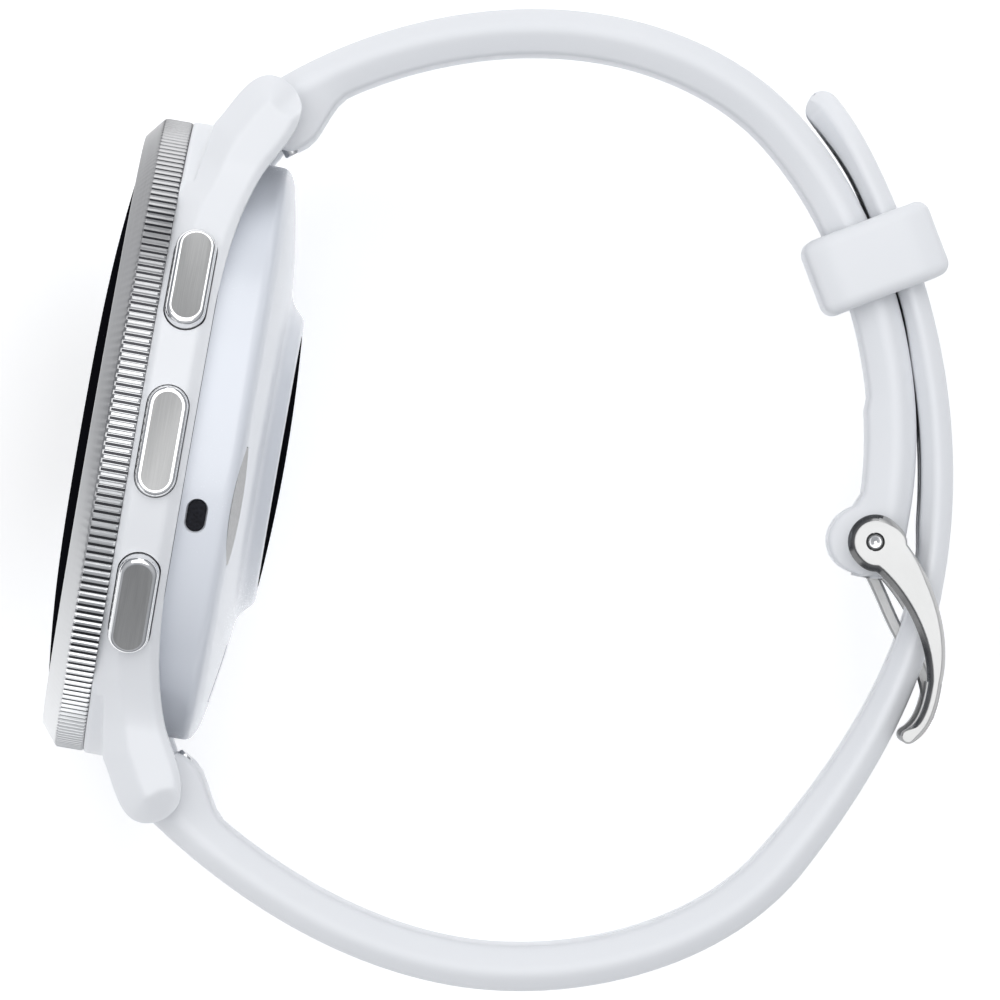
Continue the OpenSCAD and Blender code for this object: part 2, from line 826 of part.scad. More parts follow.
module buckle_frame() {
    arm = curve(arm_stations, 12);
    arm_half = [
        for (i = [0 : 12]) (1.6 * (12 - i) + crossbar_t / 2 * i) / 12
    ];
    crossbar = curve(crossbar_stations, 8);
    notch_w = tongue_w + 0.5;
    under = -tongue_t / 2 - 0.12;
    reach = [tongue_tip.x + 0.05, tongue_tip.y - 0.3, tongue_tip[2]];
    path = curve([tongue_stations[0], tongue_stations[1], reach], 8);
    last = len(path) - 1;
    color(steel) difference() {
        union() {
            for (s = [-1, 1]) translate([0, 0, s * (arm_in + arm_out) / 2]) {
                bar_of(band(arm, arm_half), arm_t);
                translate([0, 0, -arm_t / 2]) rod_z(pin_x, pin_y, arm_head_d / 2, 0, arm_t);
            }
            bar_of(band(crossbar, even(crossbar, crossbar_t / 2)), 2 * arm_out);
        }
        rod_z(pin_x, pin_y, pin_r + fit, -2 * arm_out, 2 * arm_out);
        bar_of(concat([for (i = [0 : last]) beside(path, i, under)],
                      [for (i = [last : -1 : 0]) beside(path, i, 3)]), notch_w);
    }
}

module buckle_tongue() {
    arm = curve(tongue_stations, 8);
    eye_r = pin_r + 0.95;
    color(steel) difference() {
        union() {
            bar_of(band(arm, even(arm, tongue_t / 2)), tongue_w);
            rod_z(pin_x, pin_y, eye_r, -tongue_w / 2 - 0.3, tongue_w / 2 + 0.3);
        }
        rod_z(pin_x, pin_y, pin_r + fit, -strap_w, strap_w);
    }
}

display_glass();
display_adhesive();
display_panel();
display_flex();
bezel_ring();
mid_case();
case_back();
back_gasket();
case_screws();
sensor_glass();
sensor_board();
sensor_leds();
sensor_diodes();
wrist_contact();
charge_socket();
charge_pins();
vent_port();
inner_frame();
main_board();
board_shields();
button_switches();
battery();
vibration_motor();
speaker();
microphone();
gps_antenna();
button_top();
button_middle();
button_bottom();
button_top_seal();
button_middle_seal();
button_bottom_seal();
button_top_clip();
button_middle_clip();
button_bottom_clip();
spring_bar_12();
spring_bar_6();
release_knob_12();
release_knob_6();
bar_spring_12();
bar_spring_6();
strap_short();
strap_long();
keeper_loop();
buckle_frame();
buckle_pin();
buckle_tongue();
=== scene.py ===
from math import atan2, cos, hypot, pi, radians, sin, sqrt

import bmesh
import bpy
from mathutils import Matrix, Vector


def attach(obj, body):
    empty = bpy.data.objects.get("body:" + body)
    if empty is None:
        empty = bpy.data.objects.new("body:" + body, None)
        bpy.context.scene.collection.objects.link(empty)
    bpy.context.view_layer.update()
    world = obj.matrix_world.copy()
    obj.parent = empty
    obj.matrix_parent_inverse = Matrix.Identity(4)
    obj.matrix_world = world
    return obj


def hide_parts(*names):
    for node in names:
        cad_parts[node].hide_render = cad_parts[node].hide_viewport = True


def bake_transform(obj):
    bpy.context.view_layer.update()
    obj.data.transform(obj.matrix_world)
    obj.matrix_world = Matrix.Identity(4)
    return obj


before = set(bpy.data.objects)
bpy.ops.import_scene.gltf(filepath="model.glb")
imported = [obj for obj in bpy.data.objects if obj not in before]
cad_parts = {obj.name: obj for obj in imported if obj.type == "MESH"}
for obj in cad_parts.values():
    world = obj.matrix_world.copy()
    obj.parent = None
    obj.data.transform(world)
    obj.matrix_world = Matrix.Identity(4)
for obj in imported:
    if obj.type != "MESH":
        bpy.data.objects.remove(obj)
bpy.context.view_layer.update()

# ---- Table, light and camera -------------------------------------------------------
# The watch lies on its 9 o'clock side on a plain white table, with its buttons up. A
# wide softbox hangs over it and two weaker ones stand at its sides. The camera looks
# straight down through a long lens.
MM = 0.001
table_z = -22.62
table_half = 3000
view_centre = (29.93, 0.05)
view_width = 70.6
view_turn = 10
lens_mm = 1000.0
film_mm = 36.0


class Wire:
    """One node's output in a material. Arithmetic on wires adds Math nodes."""

    def __init__(self, tree, socket=None):
        self.tree = tree
        self.socket = socket

    def node(self, kind, settings=None, sockets=None, out=0):
        made = self.tree.nodes.new("ShaderNode" + kind)
        for name, value in (settings or {}).items():
            setattr(made, name, value)
        for name, value in (sockets or {}).items():
            if isinstance(value, Wire):
                self.tree.links.new(value.socket, made.inputs[name])
            else:
                made.inputs[name].default_value = value
        return Wire(self.tree, made.outputs[out])

    def math(self, operation, first, second=0.0):
        return self.node("Math", {"operation": operation}, {0: first, 1: second})

    def __add__(self, other):
        return self.math("ADD", self, other)

    __radd__ = __add__

    def __sub__(self, other):
        return self.math("SUBTRACT", self, other)

    def __rsub__(self, other):
        return self.math("SUBTRACT", other, self)

    def __mul__(self, other):
        return self.math("MULTIPLY", self, other)

    __rmul__ = __mul__

    def place(self):
        """Where a point of the piece is, in the watch's own frame, in metres."""
        return self.node("TexCoord", out=3)

    def stretched(self, scales):
        """The place, scaled by a different number along X, Y and Z."""
        sockets = {0: self.place(), 1: scales}
        return self.node("VectorMath", {"operation": "MULTIPLY"}, sockets)

    def noise(self, vector, scale, detail=3.0, roughness=0.55):
        sockets = {"Vector": vector, "Scale": scale, "Detail": detail, "Roughness": roughness}
        return self.node("TexNoise", None, sockets)

    def between(self, value, low, high):
        """Turns a 0 to 1 value into one that runs from low to high."""
        return value * (high - low) + low

    def mix(self, factor, first, second):
        settings = {"data_type": "RGBA"}
        return self.node("Mix", settings, {0: factor, 6: first, 7: second}, out=2)

    def bump(self, height, depth, strength=1.0):
        sockets = {"Height": height, "Distance": depth, "Strength": strength}
        return self.node("Bump", None, sockets)

    def surface(self, sockets):
        shader = self.node("BsdfPrincipled", None, sockets)
        output = self.tree.nodes.new("ShaderNodeOutputMaterial")
        self.tree.links.new(shader.socket, output.inputs["Surface"])


def material(name):
    """A new material, and the wire that its nodes are added with."""
    made = bpy.data.materials.new(name)
    made.use_nodes = True
    made.node_tree.nodes.clear()
    return made, Wire(made.node_tree)


def rgb(red, green, blue):
    return (red, green, blue, 1.0)


def clean(piece, crease=34):
    """Joins doubled points, turns every face outwards and sets which edges are sharp."""
    work = bmesh.new()
    work.from_mesh(piece.data)
    bmesh.ops.remove_doubles(work, verts=work.verts, dist=0.0005 * MM)
    bmesh.ops.dissolve_degenerate(work, edges=work.edges, dist=0.0004 * MM)
    bmesh.ops.recalc_face_normals(work, faces=work.faces)
    for face in work.faces:
        face.smooth = True
    for edge in work.edges:
        edge.smooth = len(edge.link_faces) == 2 and edge.calc_face_angle(0) < radians(crease)
    work.to_mesh(piece.data)
    work.free()


def new_piece(name, points, faces, finish, crease=34):
    """A piece from points in millimetres. Edges sharper than crease degrees stay sharp."""
    mesh = bpy.data.meshes.new(name)
    mesh.from_pydata([Vector(p) * MM for p in points], [], faces)
    piece = bpy.data.objects.new(name, mesh)
    bpy.context.scene.collection.objects.link(piece)
    mesh.materials.append(finish)
    clean(piece, crease)
    return piece


table_paint, wire = material("table_paint")
grain = wire.noise(wire.place(), 900, 4)
wire.surface({
    "Base Color": wire.mix(grain, rgb(0.93, 0.93, 0.935), rgb(0.95, 0.95, 0.95)),
    "Roughness": wire.between(grain, 0.75, 0.85),
    "Emission Color": rgb(1.0, 1.0, 1.0),
    "Emission Strength": 0.30,
})
corners = [(-1, -1), (1, -1), (1, 1), (-1, 1)]
table_points = [(table_half * x, table_half * y, table_z) for x, y in corners]
table = new_piece("table", table_points, [(0, 1, 2, 3)], table_paint)


def softbox(name, place, aim, size, power):
    """A square area light at place, in metres, turned to face aim."""
    lamp = bpy.data.lights.new(name, "AREA")
    lamp.size = size
    lamp.energy = power
    stand = bpy.data.objects.new(name, lamp)
    stand.location = place
    stand.rotation_euler = (Vector(place) - Vector(aim)).to_track_quat("Z", "Y").to_euler()
    bpy.context.scene.collection.objects.link(stand)


middle = (view_centre[0] * MM, view_centre[1] * MM, 0)
softbox("overhead_box", (-0.05, 0.20, 0.85), middle, 1.00, 5.2)
softbox("head_box", (0.0, 0.85, 0.50), middle, 0.45, 0.9)
softbox("foot_box", (-0.55, -0.60, 0.16), middle, 0.45, 0.45)

room = bpy.data.worlds.new("room")
bpy.context.scene.world = room
room.use_nodes = True
wire = Wire(room.node_tree)
height = wire.node("SeparateXYZ", None, {0: wire.node("TexCoord")}, out=2)
rise = wire.node("MapRange", {"interpolation_type": "SMOOTHSTEP"}, {
    "Value": height, "From Min": 0.05, "From Max": 0.75, "To Min": 0.0, "To Max": 1.0,
})
backdrop = room.node_tree.nodes["Background"].inputs
walls = wire.mix(rise, rgb(0.16, 0.17, 0.19), rgb(0.52, 0.53, 0.55))
room.node_tree.links.new(walls.socket, backdrop["Color"])
backdrop["Strength"].default_value = 1.0
bpy.context.scene.view_settings.view_transform = "Standard"

lens = bpy.data.cameras.new("camera")
lens.lens = lens_mm
lens.sensor_width = film_mm
camera = bpy.data.objects.new("camera", lens)
camera_height = view_width * lens_mm / film_mm * MM
lens.clip_start = camera_height - 0.2
lens.clip_end = camera_height + 0.2
camera.location = (view_centre[0] * MM, view_centre[1] * MM, camera_height)
camera.rotation_euler = (0, 0, radians(view_turn))
bpy.context.scene.collection.objects.link(camera)
bpy.context.scene.camera = camera

# ---- Display glass -----------------------------------------------------------------
# A disc of hard black-backed glass, flat in the middle and falling away to its rim. It
# is glued on a ledge inside the bezel, over the display panel and its flexible lead.
glass_r = 20.75
glass_t = 1.6
glass_flat_r = 6.0
glass_arc_r = 94.0
glass_rim_x = (glass_r - glass_flat_r) ** 2 / (2 * glass_arc_r)


def arc_steps(count):
    return [k / count for k in range(count + 1)]


def soften(outline, setbacks, steps):
    """Rounds a closed outline's corners. A setback says how far each rounding reaches."""
    rounded = []
    for i, point in enumerate(outline):
        setback = setbacks if isinstance(setbacks, (int, float)) else setbacks[i]
        corner = Vector(point)
        back = Vector(outline[i - 1]) - corner
        ahead = Vector(outline[(i + 1) % len(outline)]) - corner
        reach = min(setback, 0.48 * back.length, 0.48 * ahead.length)
        first = corner + back.normalized() * reach
        last = corner + ahead.normalized() * reach
        for t in arc_steps(steps) if reach > 0 else [0.5]:
            rounded.append(tuple((1 - t) ** 2 * first + 2 * t * (1 - t) * corner + t * t * last))
    return rounded


def rings_to_faces(count, size, closed):
    """Faces between count rings of size points each, closed back on the first or capped."""
    faces = []
    for i in range(count if closed else count - 1):
        for k in range(size):
            ring, after = i * size, (i + 1) % count * size
            step = (k + 1) % size
            faces.append((ring + k, ring + step, after + step, after + k))
    if not closed:
        faces.append(tuple(range(size)))
        faces.append(tuple((count - 1) * size + k for k in range(size)))
    return faces


def lathe(name, outline, finish, turns=240):
    """Turns a closed outline of (radius, x) about the case's axis."""
    points = []
    for i in range(turns):
        angle = radians(360 * i / turns)
        points += [(x, r * sin(angle), r * cos(angle)) for r, x in outline]
    return new_piece(name, points, rings_to_faces(turns, len(outline), True), finish)


black_glass, wire = material("black_glass")
smudge = wire.noise(wire.place(), 160, 5, 0.6)
wire.surface({
    "Base Color": wire.mix(smudge, rgb(0.003, 0.003, 0.004), rgb(0.006, 0.006, 0.008)),
    "Roughness": wire.between(smudge, 0.10, 0.16),
    "Specular IOR Level": 0.0,
})
face = [
    (r, max(r - glass_flat_r, 0) ** 2 / (2 * glass_arc_r))
    for r in [glass_r * t for t in arc_steps(28)]
]
glass_outline = face[:-1] + [
    (glass_r - 0.05, glass_rim_x - 0.01), (glass_r, glass_rim_x + 0.06),
    (glass_r, glass_t), (0, glass_t),
]
display_glass = lathe("display_cover_glass", glass_outline, black_glass)
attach(display_glass, "case")
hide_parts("display_glass")


def dress(node, finish):
    """Gives a CAD piece that keeps its shape a better finish."""
    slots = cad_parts[node].data.materials
    slots.clear()
    slots.append(finish)


def plain_finish(name, dark, light, scale, rough, metal=0.0, depth=0.005, coarse=0.6):
    """A finish that varies from dark to light with the grain of its surface."""
    made, wire = material(name)
    grain = wire.noise(wire.place(), scale, 4, coarse)
    sockets = {
        "Base Color": wire.mix(grain, rgb(*dark), rgb(*light)),
        "Metallic": metal,
        "Roughness": wire.between(grain, *rough),
    }
    if depth > 0:
        sockets["Normal"] = wire.bump(grain, depth * MM)
    wire.surface(sockets)
    return made


glue = plain_finish(
    "black_glue", (0.012, 0.012, 0.013), (0.03, 0.03, 0.03), 2500, (0.45, 0.7), 0.0, 0.02, 0.55
)
dress("display_adhesive", glue)

panel_film, wire = material("panel_film")
cells = wire.node("TexVoronoi", None, {"Vector": wire.place(), "Scale": 5000.0})
wire.surface({
    "Base Color": wire.mix(cells, rgb(0.01, 0.012, 0.02), rgb(0.03, 0.03, 0.05)),
    "Roughness": wire.between(cells, 0.15, 0.3),
})
dress("display_panel", panel_film)

lead_film, wire = material("lead_film")
tracks = wire.node("TexWave", {"bands_direction": "Z"}, {
    "Vector": wire.place(), "Scale": 1200.0, "Distortion": 0.2,
})
wire.surface({
    "Base Color": wire.mix(tracks, rgb(0.42, 0.19, 0.03), rgb(0.62, 0.33, 0.07)),
    "Roughness": wire.between(tracks, 0.3, 0.4),
})
dress("display_flex", lead_film)

# ---- Bezel -------------------------------------------------------------------------
# A turned stainless steel ring. Its front chamfer is brushed round the ring, and its
# edge is rolled with 232 fine ribs along the case's axis. It is glued on the case's front.
bezel_r = 22.5
bezel_front = glass_rim_x - 0.30
bezel_back = glass_rim_x + 2.85
rib_count = 232
rib_depth = 0.12
rib_profile = [(0, 0), (0.28, 0), (0.40, 1), (0.88, 1)]
chamfer_x = bezel_front + 1.15
ledge_r = bezel_r - 3.05
ledge_x = glass_t + 0.15
groove_middle = 0.64
groove_half = 0.17
# Where round the bezel its painted shade is darkest, in degrees.
painted_shade_angle = 75


def knurled_ring(name, sections, finish):
    """A ring whose outline, as (radius, x, how far the ribs cut in), goes round in ribs."""
    points = []
    for i in range(rib_count):
        for part, depth in rib_profile:
            angle = radians(360 * (i + part) / rib_count)
            for r, x, rib in sections:
                cut = r - rib_depth * depth * rib
                points.append((x, cut * sin(angle), cut * cos(angle)))
    faces = rings_to_faces(rib_count * len(rib_profile), len(sections), True)
    return new_piece(name, points, faces, finish, 20)


def ring_coordinates(wire):
    """A point's distance from the case's axis, its angle round it in turns, and its x."""
    x, y, z = (wire.node("SeparateXYZ", None, {0: wire.place()}, out=k) for k in range(3))
    radius = wire.math("SQRT", y * y + z * z)
    return radius, wire.math("ARCTAN2", y, z) * (0.5 / pi), x


bezel_steel, wire = material("bezel_steel")
radius, turn, along = ring_coordinates(wire)
round_vector = wire.node("CombineXYZ", None, {0: radius * 16000, 1: along * 16000, 2: turn * 18})
brushing = wire.noise(round_vector, 1.0, 4, 0.6)
rib_vector = wire.node("CombineXYZ", None, {0: turn * (rib_count * 1.7), 1: along * 300})
rib_tone = wire.noise(rib_vector, 1.0, 2, 0.5)
wear = wire.noise(wire.place(), 260, 5, 0.6)
# Painted shade: the bottoms of the rib grooves on the rolled edge are coloured near black, for the
# shadow that lies in them.
groove = wire.math("FRACT", turn * rib_count + rib_count)
from_groove = wire.math("ABSOLUTE", groove - groove_middle)
groove_painted_shade = wire.math("LESS_THAN", from_groove, groove_half)
on_edge = wire.math("GREATER_THAN", along, (chamfer_x + 0.1) * MM)
# Painted shade: the brushed chamfer is coloured darker on one side of the ring and lighter on the
# other, a tone that stands in for shade, not a finish of the steel.
painted_shade_swing = wire.math("COSINE", turn * (2 * pi) - radians(painted_shade_angle))
grain_and_painted_shade = wire.between(brushing, 0.85, 1.0) * (painted_shade_swing * 0.5 + 0.5)
satin = wire.mix(grain_and_painted_shade, rgb(0.74, 0.745, 0.75), rgb(0.20, 0.20, 0.205))
rolled = wire.mix(rib_tone, rgb(0.62, 0.63, 0.64), rgb(0.90, 0.905, 0.91))
# Painted shade on the rolled edge as well: it is coloured darker on the same side of the ring.
rolled = wire.mix(wire.math("POWER", painted_shade_swing * 0.5 + 0.5, 3.0), rolled, rgb(0.36, 0.36, 0.365))
bright = wire.mix(on_edge, satin, rolled)
wire.surface({
    "Base Color": wire.mix(groove_painted_shade * on_edge, bright, rgb(0.05, 0.05, 0.055)),
    "Metallic": 1.0,
    "Roughness": wire.between(brushing, 0.22, 0.34) + wear * 0.08,
    "Normal": wire.bump(brushing, 0.006 * MM, 0.6),
})
sections = [
    (glass_r + 0.05, bezel_front + 0.10, 0),
    (glass_r + 0.12, bezel_front, 0),
    (glass_r + 0.30, bezel_front + 0.04, 0),
    (bezel_r - 0.22, chamfer_x - 0.12, 0),
    (bezel_r - 0.10, chamfer_x, 0.3),
    (bezel_r, chamfer_x + 0.16, 1),
    (bezel_r, bezel_back - 0.14, 1),
    (bezel_r - 0.09, bezel_back, 0.3),
    (ledge_r, bezel_back, 0),
    (ledge_r, ledge_x, 0),
    (glass_r + 0.05, ledge_x, 0),
]
bezel = knurled_ring("knurled_bezel", sections, bezel_steel)
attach(bezel, "case")
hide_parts("bezel_ring")

# ---- Case --------------------------------------------------------------------------
# The case is one moulding of white glass-filled polymer with its four lugs. Every edge
# of it is rounded, and its lugs fall away in a wide soft bevel. The buttons drop into
# pockets in its side.
case_r = 22.6
bore_r = 21.1
wall_back = bezel_back + 3.95
flange_r = 19.9
cover_seat_r = 20.55
lug_gap_half = 11.0
lug_out = 14.4
lug_end_x = 17.0
bar_x = bezel_back + 5.3
bar_y = case_r + 1.6
lug_root_y = case_r - 5.4
far_out = 40
skin_grid = 0.17
rub_passes = 3
blend_depth = 4.5
button_x = bezel_back + 1.955
button_angles = {"top": 30.6, "middle": 0.0, "bottom": -30.6}
button_length = 7.85
button_width = 2.9
pocket_gap = 0.08
cap_base = case_r - 1.2

# The bevels of the side face. Each reaches one way on the barrel and another on the lugs,
# and changes over where the lugs begin.
front_reach = (0.5, 1.85)
back_reach = (0.85, 0.5)
lugs_begin = (8, 19)
bevel_slope = 0.85
shaped_depth = 2.6
edge_split = 19
edge_spacing = 0.2

lug_stations = [
    (bezel_back + 1.6, case_r, 55),
    (bezel_back + 5.1, case_r + 4.05, 0),
    (bezel_back + 7.5, case_r + 1.9, -88),
    (bezel_back + 5.4, case_r - 3.3, -110),
    (wall_back, case_r - 12.4, -92),
]


def curve(stations, steps):
    """Points along a curve that runs through stations of (x, y, heading in degrees)."""
    points = []
    for (ax, ay, leave), (bx, by, arrive) in zip(stations, stations[1:]):
        run = hypot(bx - ax, by - ay)
        for t in arc_steps(steps)[:-1]:
            from_a = 2 * t**3 - 3 * t**2 + 1
            to_b = 3 * t**2 - 2 * t**3
            out_a = (t**3 - 2 * t**2 + t) * run
            in_b = (t**3 - t**2) * run
            x = from_a * ax + to_b * bx + out_a * cos(radians(leave)) + in_b * cos(radians(arrive))
            y = from_a * ay + to_b * by + out_a * sin(radians(leave)) + in_b * sin(radians(arrive))
            points.append((x, y))
    return points + [stations[-1][:2]]


def ease(value, low, high):
    """Runs smoothly from 0 at low to 1 at high."""
    t = min(max((value - low) / (high - low), 0), 1)
    return t * t * (3 - 2 * t)


def inset(outline, depths):
    """Moves a closed outline inwards by one depth, or by a depth for each point."""
    area = sum(a[0] * b[1] - b[0] * a[1] for a, b in zip(outline, outline[1:] + outline[:1]))
    side = 1 if area > 0 else -1
    moved = []
    for i, (x, y) in enumerate(outline):
        depth = depths if isinstance(depths, (int, float)) else depths[i]
        before, after = outline[i - 1], outline[(i + 1) % len(outline)]
        dx, dy = after[0] - before[0], after[1] - before[1]
        length = max(hypot(dx, dy), 1e-6) * side
        moved.append((x - dy / length * depth, y + dx / length * depth))
    return moved


def plate(name, outline, levels, finish, place=lambda u, v, h: (u, v, h), crease=34):
    """A plate from rings of an outline, one for each level of (inset, height)."""
    points = []
    for depth, height in levels:
        points += [place(u, v, height) for u, v in inset(outline, depth)]
    faces = rings_to_faces(len(levels), len(outline), False)
    return new_piece(name, points, faces, finish, crease)


def block(x, y, z, finish):
    """A plain block, for cutting with."""
    outline = [(x[0], y[0]), (x[1], y[0]), (x[1], y[1]), (x[0], y[1])]
    return plate("block", outline, [(0, z[0]), (0, z[1])], finish)


def apply_modifiers(piece):
    shape = piece.evaluated_get(bpy.context.evaluated_depsgraph_get())
    mesh = bpy.data.meshes.new_from_object(shape)
    piece.modifiers.clear()
    piece.data = mesh


def combine(piece, tool, operation="DIFFERENCE"):
    """Cuts the tool from the piece, or joins it on, and throws the tool away."""
    step = piece.modifiers.new(operation, "BOOLEAN")
    step.object = tool
    step.operation = operation
    step.solver = "MANIFOLD"
    apply_modifiers(piece)
    bpy.data.objects.remove(tool)


def rub_down(piece, passes, skin=None):
    """Rubs a piece's edges round. With a grid size it is first made one skin on that grid."""
    if skin:
        cast = piece.modifiers.new("skin", "REMESH")
        cast.mode = "VOXEL"
        cast.voxel_size = skin * MM
    rub = piece.modifiers.new("rub", "SMOOTH")
    rub.factor = 0.5
    rub.iterations = passes
    apply_modifiers(piece)


def on_barrel(middle_x, angle):
    """Places a plan of (along the case, round it) with its height out from the axis."""
    turned = radians(angle)

    def place(u, v, h):
        return (
            middle_x + u,
            v * cos(turned) + h * sin(turned),
            -v * sin(turned) + h * cos(turned),
        )

    return place


def pill(length, width, steps=16):
    """The outline of a pill that stands along the second axis."""
    half, straight = width / 2, (length - width) / 2
    arc = [(half * cos(pi * t), straight + half * sin(pi * t)) for t in arc_steps(steps)]
    return arc + [(-x, -y) for x, y in arc]


white_polymer, wire = material("white_polymer")
flow = wire.noise(wire.place(), 90, 4, 0.5)
speckle = wire.noise(wire.place(), 9000, 3, 0.6)
wire.surface({
    "Base Color": wire.mix(flow, rgb(0.80, 0.815, 0.84), rgb(0.83, 0.84, 0.86)),
    "Roughness": wire.between(speckle, 0.34, 0.46) + flow * 0.06,
    "Normal": wire.bump(speckle, 0.004 * MM, 0.5),
    "IOR": 1.5,
})

lug_curve = curve(lug_stations, 12)


def side_outline(foot):
    top = [foot] + lug_curve
    return top + [(x, -y) for x, y in reversed(top)]


case_side = side_outline((bezel_back + 0.02, case_r))
case = plate("white_case", case_side, [(0, -case_r), (0, case_r)], white_polymer)
barrel = [
    (0, bezel_back + 0.02), (case_r, bezel_back + 0.02), (case_r, lug_end_x), (0, lug_end_x),
]
combine(case, lathe("barrel", barrel, white_polymer), "INTERSECT")
lugs = side_outline((bezel_back + 0.8, lug_root_y))
combine(case, plate("lugs", lugs, [(0, -lug_out), (0, lug_out)], white_polymer), "UNION")
for hollow_r, front, back in (
    (bore_r, 0, wall_back - 0.8), (flange_r, 0, lug_end_x), (cover_seat_r, wall_back, lug_end_x),
):
    hollow = [(0, front), (hollow_r, front), (hollow_r, back), (0, back)]
    combine(case, lathe("hollow", hollow, white_polymer))
gap = (-lug_gap_half, lug_gap_half)
combine(case, block((wall_back, lug_end_x), (-far_out, far_out), gap, white_polymer))
for side in (-1, 1):
    beyond = sorted((side * case_r, side * far_out))
    combine(case, block((0, wall_back + 1), beyond, gap, white_polymer))
rub_down(case, rub_passes, skin_grid)


def resample(points, spacing):
    """Points at an even spacing along a line of points."""
    even = []
    for (ax, ay), (bx, by) in zip(points, points[1:]):
        count = max(1, round(hypot(bx - ax, by - ay) / spacing))
        even += [(ax + (bx - ax) * k / count, ay + (by - ay) * k / count) for k in range(count)]
    return even + [points[-1]]


def edge_drop(x, y, edge, reach):
    """How far the bevel of that reach along an edge lowers the side face at x, y."""
    distance = min(hypot(x - ex, y - ey) for ex, ey in edge)
    return bevel_slope * max(reach - distance, 0)


def barrel_height(y):
    return sqrt(max(case_r**2 - y**2, 0))


def blended_height(y):
    """The height of the side face, with the barrel run smoothly into the lugs."""
    gap = abs(barrel_height(y) - lug_out)
    share = max(blend_depth - gap, 0) / blend_depth
    return max(barrel_height(y), lug_out) + share**2 * blend_depth / 4


front_line = [(bezel_back, 0), (bezel_back, lug_root_y), lug_stations[0][:2]]
front_edge = resample(front_line + lug_curve[:edge_split + 1], edge_spacing)
back_edge = resample(lug_curve[edge_split:] + [(wall_back, 0)], edge_spacing)
for vertex in case.data.vertices:
    x, y, z = vertex.co / MM
    y = abs(y)
    sharp_top = max(lug_out, barrel_height(y))
    if abs(z) < sharp_top - shaped_depth:
        continue
    lugness = ease(y, *lugs_begin)
    top = blended_height(y)
    drop = max(
        edge_drop(x, y, edge, reach[0] + (reach[1] - reach[0]) * lugness)
        for edge, reach in ((front_edge, front_reach), (back_edge, back_reach))
    )
    lift = (top - sharp_top) * ease(abs(z), sharp_top - shaped_depth, sharp_top - 0.2)
    raised = abs(z) + lift
    vertex.co.z = min(raised, top - drop) * MM * (1 if z > 0 else -1)
rub_down(case, rub_passes)
for angle in button_angles.values():
    mouth = pill(button_length + 2 * pocket_gap, button_width + 2 * pocket_gap)
    levels = [(0, cap_base - 0.45), (0, case_r + 2)]
    combine(case, plate("pocket", mouth, levels, white_polymer, on_barrel(button_x, angle)))
clean(case, 50)
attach(case, "case")
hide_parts("mid_case")

# ---- Back cover --------------------------------------------------------------------
# A bowl of glossy pale polymer, closed on the case with a gasket and four long screws.
# Its middle rises to a puck that holds the sensor glass.
cover_r = 20.5
cover_front = wall_back + 0.2
puck_r = 10.1
puck_x = wall_back + 6.2
lens_r = puck_r - 0.9
lens_rise = 0.38
socket_y = (-cover_r + 3, -cover_r + 7.1)
socket_z = 4.2
vent_angle = -13.4
vent_x = wall_back + 1.25
contact_span = (-24.0, 1.8)
contact_r = cover_r - 1.5
contact_x = wall_back + 3.98
contact_gap = 0.12
contact_steps = 48

back_polymer, wire = material("back_polymer")
flow = wire.noise(wire.place(), 110, 4, 0.5)
speckle = wire.noise(wire.place(), 7000, 3, 0.6)
wire.surface({
    "Base Color": wire.mix(flow, rgb(0.735, 0.765, 0.82), rgb(0.765, 0.79, 0.84)),
    "Roughness": wire.between(speckle, 0.20, 0.27) + flow * 0.05,
    "Coat Weight": wire.between(flow, 0.35, 0.5),
    "Coat Roughness": 0.12,
    "Normal": wire.bump(speckle, 0.002 * MM, 0.5),
})
outer = [
    (cover_r, wall_back + 0.03), (cover_r, wall_back + 3.3), (cover_r - 1, wall_back + 3.85),
    (cover_r - 2.8, wall_back + 4.22), (cover_r - 6, wall_back + 4.75),
    (puck_r + 1.2, wall_back + 5.05), (puck_r, puck_x),
]
inner = [
    (lens_r + 0.05, puck_x), (lens_r + 0.05, puck_x - 0.9), (lens_r - 0.8, puck_x - 0.9),
    (lens_r - 0.8, wall_back + 3.85), (cover_r - 6.3, wall_back + 3.65),
    (cover_r - 3.7, wall_back + 3.4), (cover_r - 1.2, wall_back + 2.6),
    (cover_r - 1.2, cover_front), (cover_r - 0.04, cover_front),
    (cover_r - 0.04, wall_back + 0.03),
]
setbacks = [0, 1.3, 0.6, 1.2, 1.2, 0.7, 0.35, 0.1] + [0] * (len(inner) - 1)
cover = lathe("back_cover", soften(outer + inner, setbacks, 6), back_polymer)
socket_x = (wall_back + 1, puck_x)
socket_room = (socket_y[0] - 0.05, socket_y[1] + 0.05)
combine(cover, block(socket_x, socket_room, (-socket_z - 0.05, socket_z + 0.05), back_polymer))


def crescent(name, extra, finish):
    """The contact plate, or its bed in the cover when extra is more than nothing."""
    start, end = contact_span[0] - extra, contact_span[1] + extra
    rings = []
    for t in arc_steps(contact_steps):
        wide = sin(pi * min(max(t, 0.02), 0.98)) ** 0.6 + extra * 0.3
        low = (contact_r + 1.1 * wide, contact_x - 0.40 * wide + extra)
        high = (contact_r - 1.2 * wide, contact_x + 0.26 * wide + extra)
        angle = radians(start + (end - start) * t)
        section = [(low[0] - 0.25, low[1] - 0.35), low, high, (high[0] - 0.15, high[1] - 0.35)]
        rings += [(x, r * sin(angle), r * cos(angle)) for r, x in section]
    return new_piece(name, rings, rings_to_faces(contact_steps + 1, 4, False), finish)


combine(cover, crescent("bed", contact_gap, back_polymer))
at_vent = on_barrel(vent_x, vent_angle)
vent_levels = [
    (0, cover_r - 0.9), (0, cover_r - 0.25), (-0.12, cover_r - 0.02), (-0.3, cover_r + 1),
]
combine(cover, plate("mouth", pill(2.3, 1.3), vent_levels, back_polymer, at_vent))
clean(cover, 40)
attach(cover, "case")
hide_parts("case_back")

rubber = plain_finish(
    "black_rubber", (0.012, 0.012, 0.013), (0.03, 0.03, 0.032), 6000, (0.55, 0.75), 0.0, 0.01
)
dress("back_gasket", rubber)

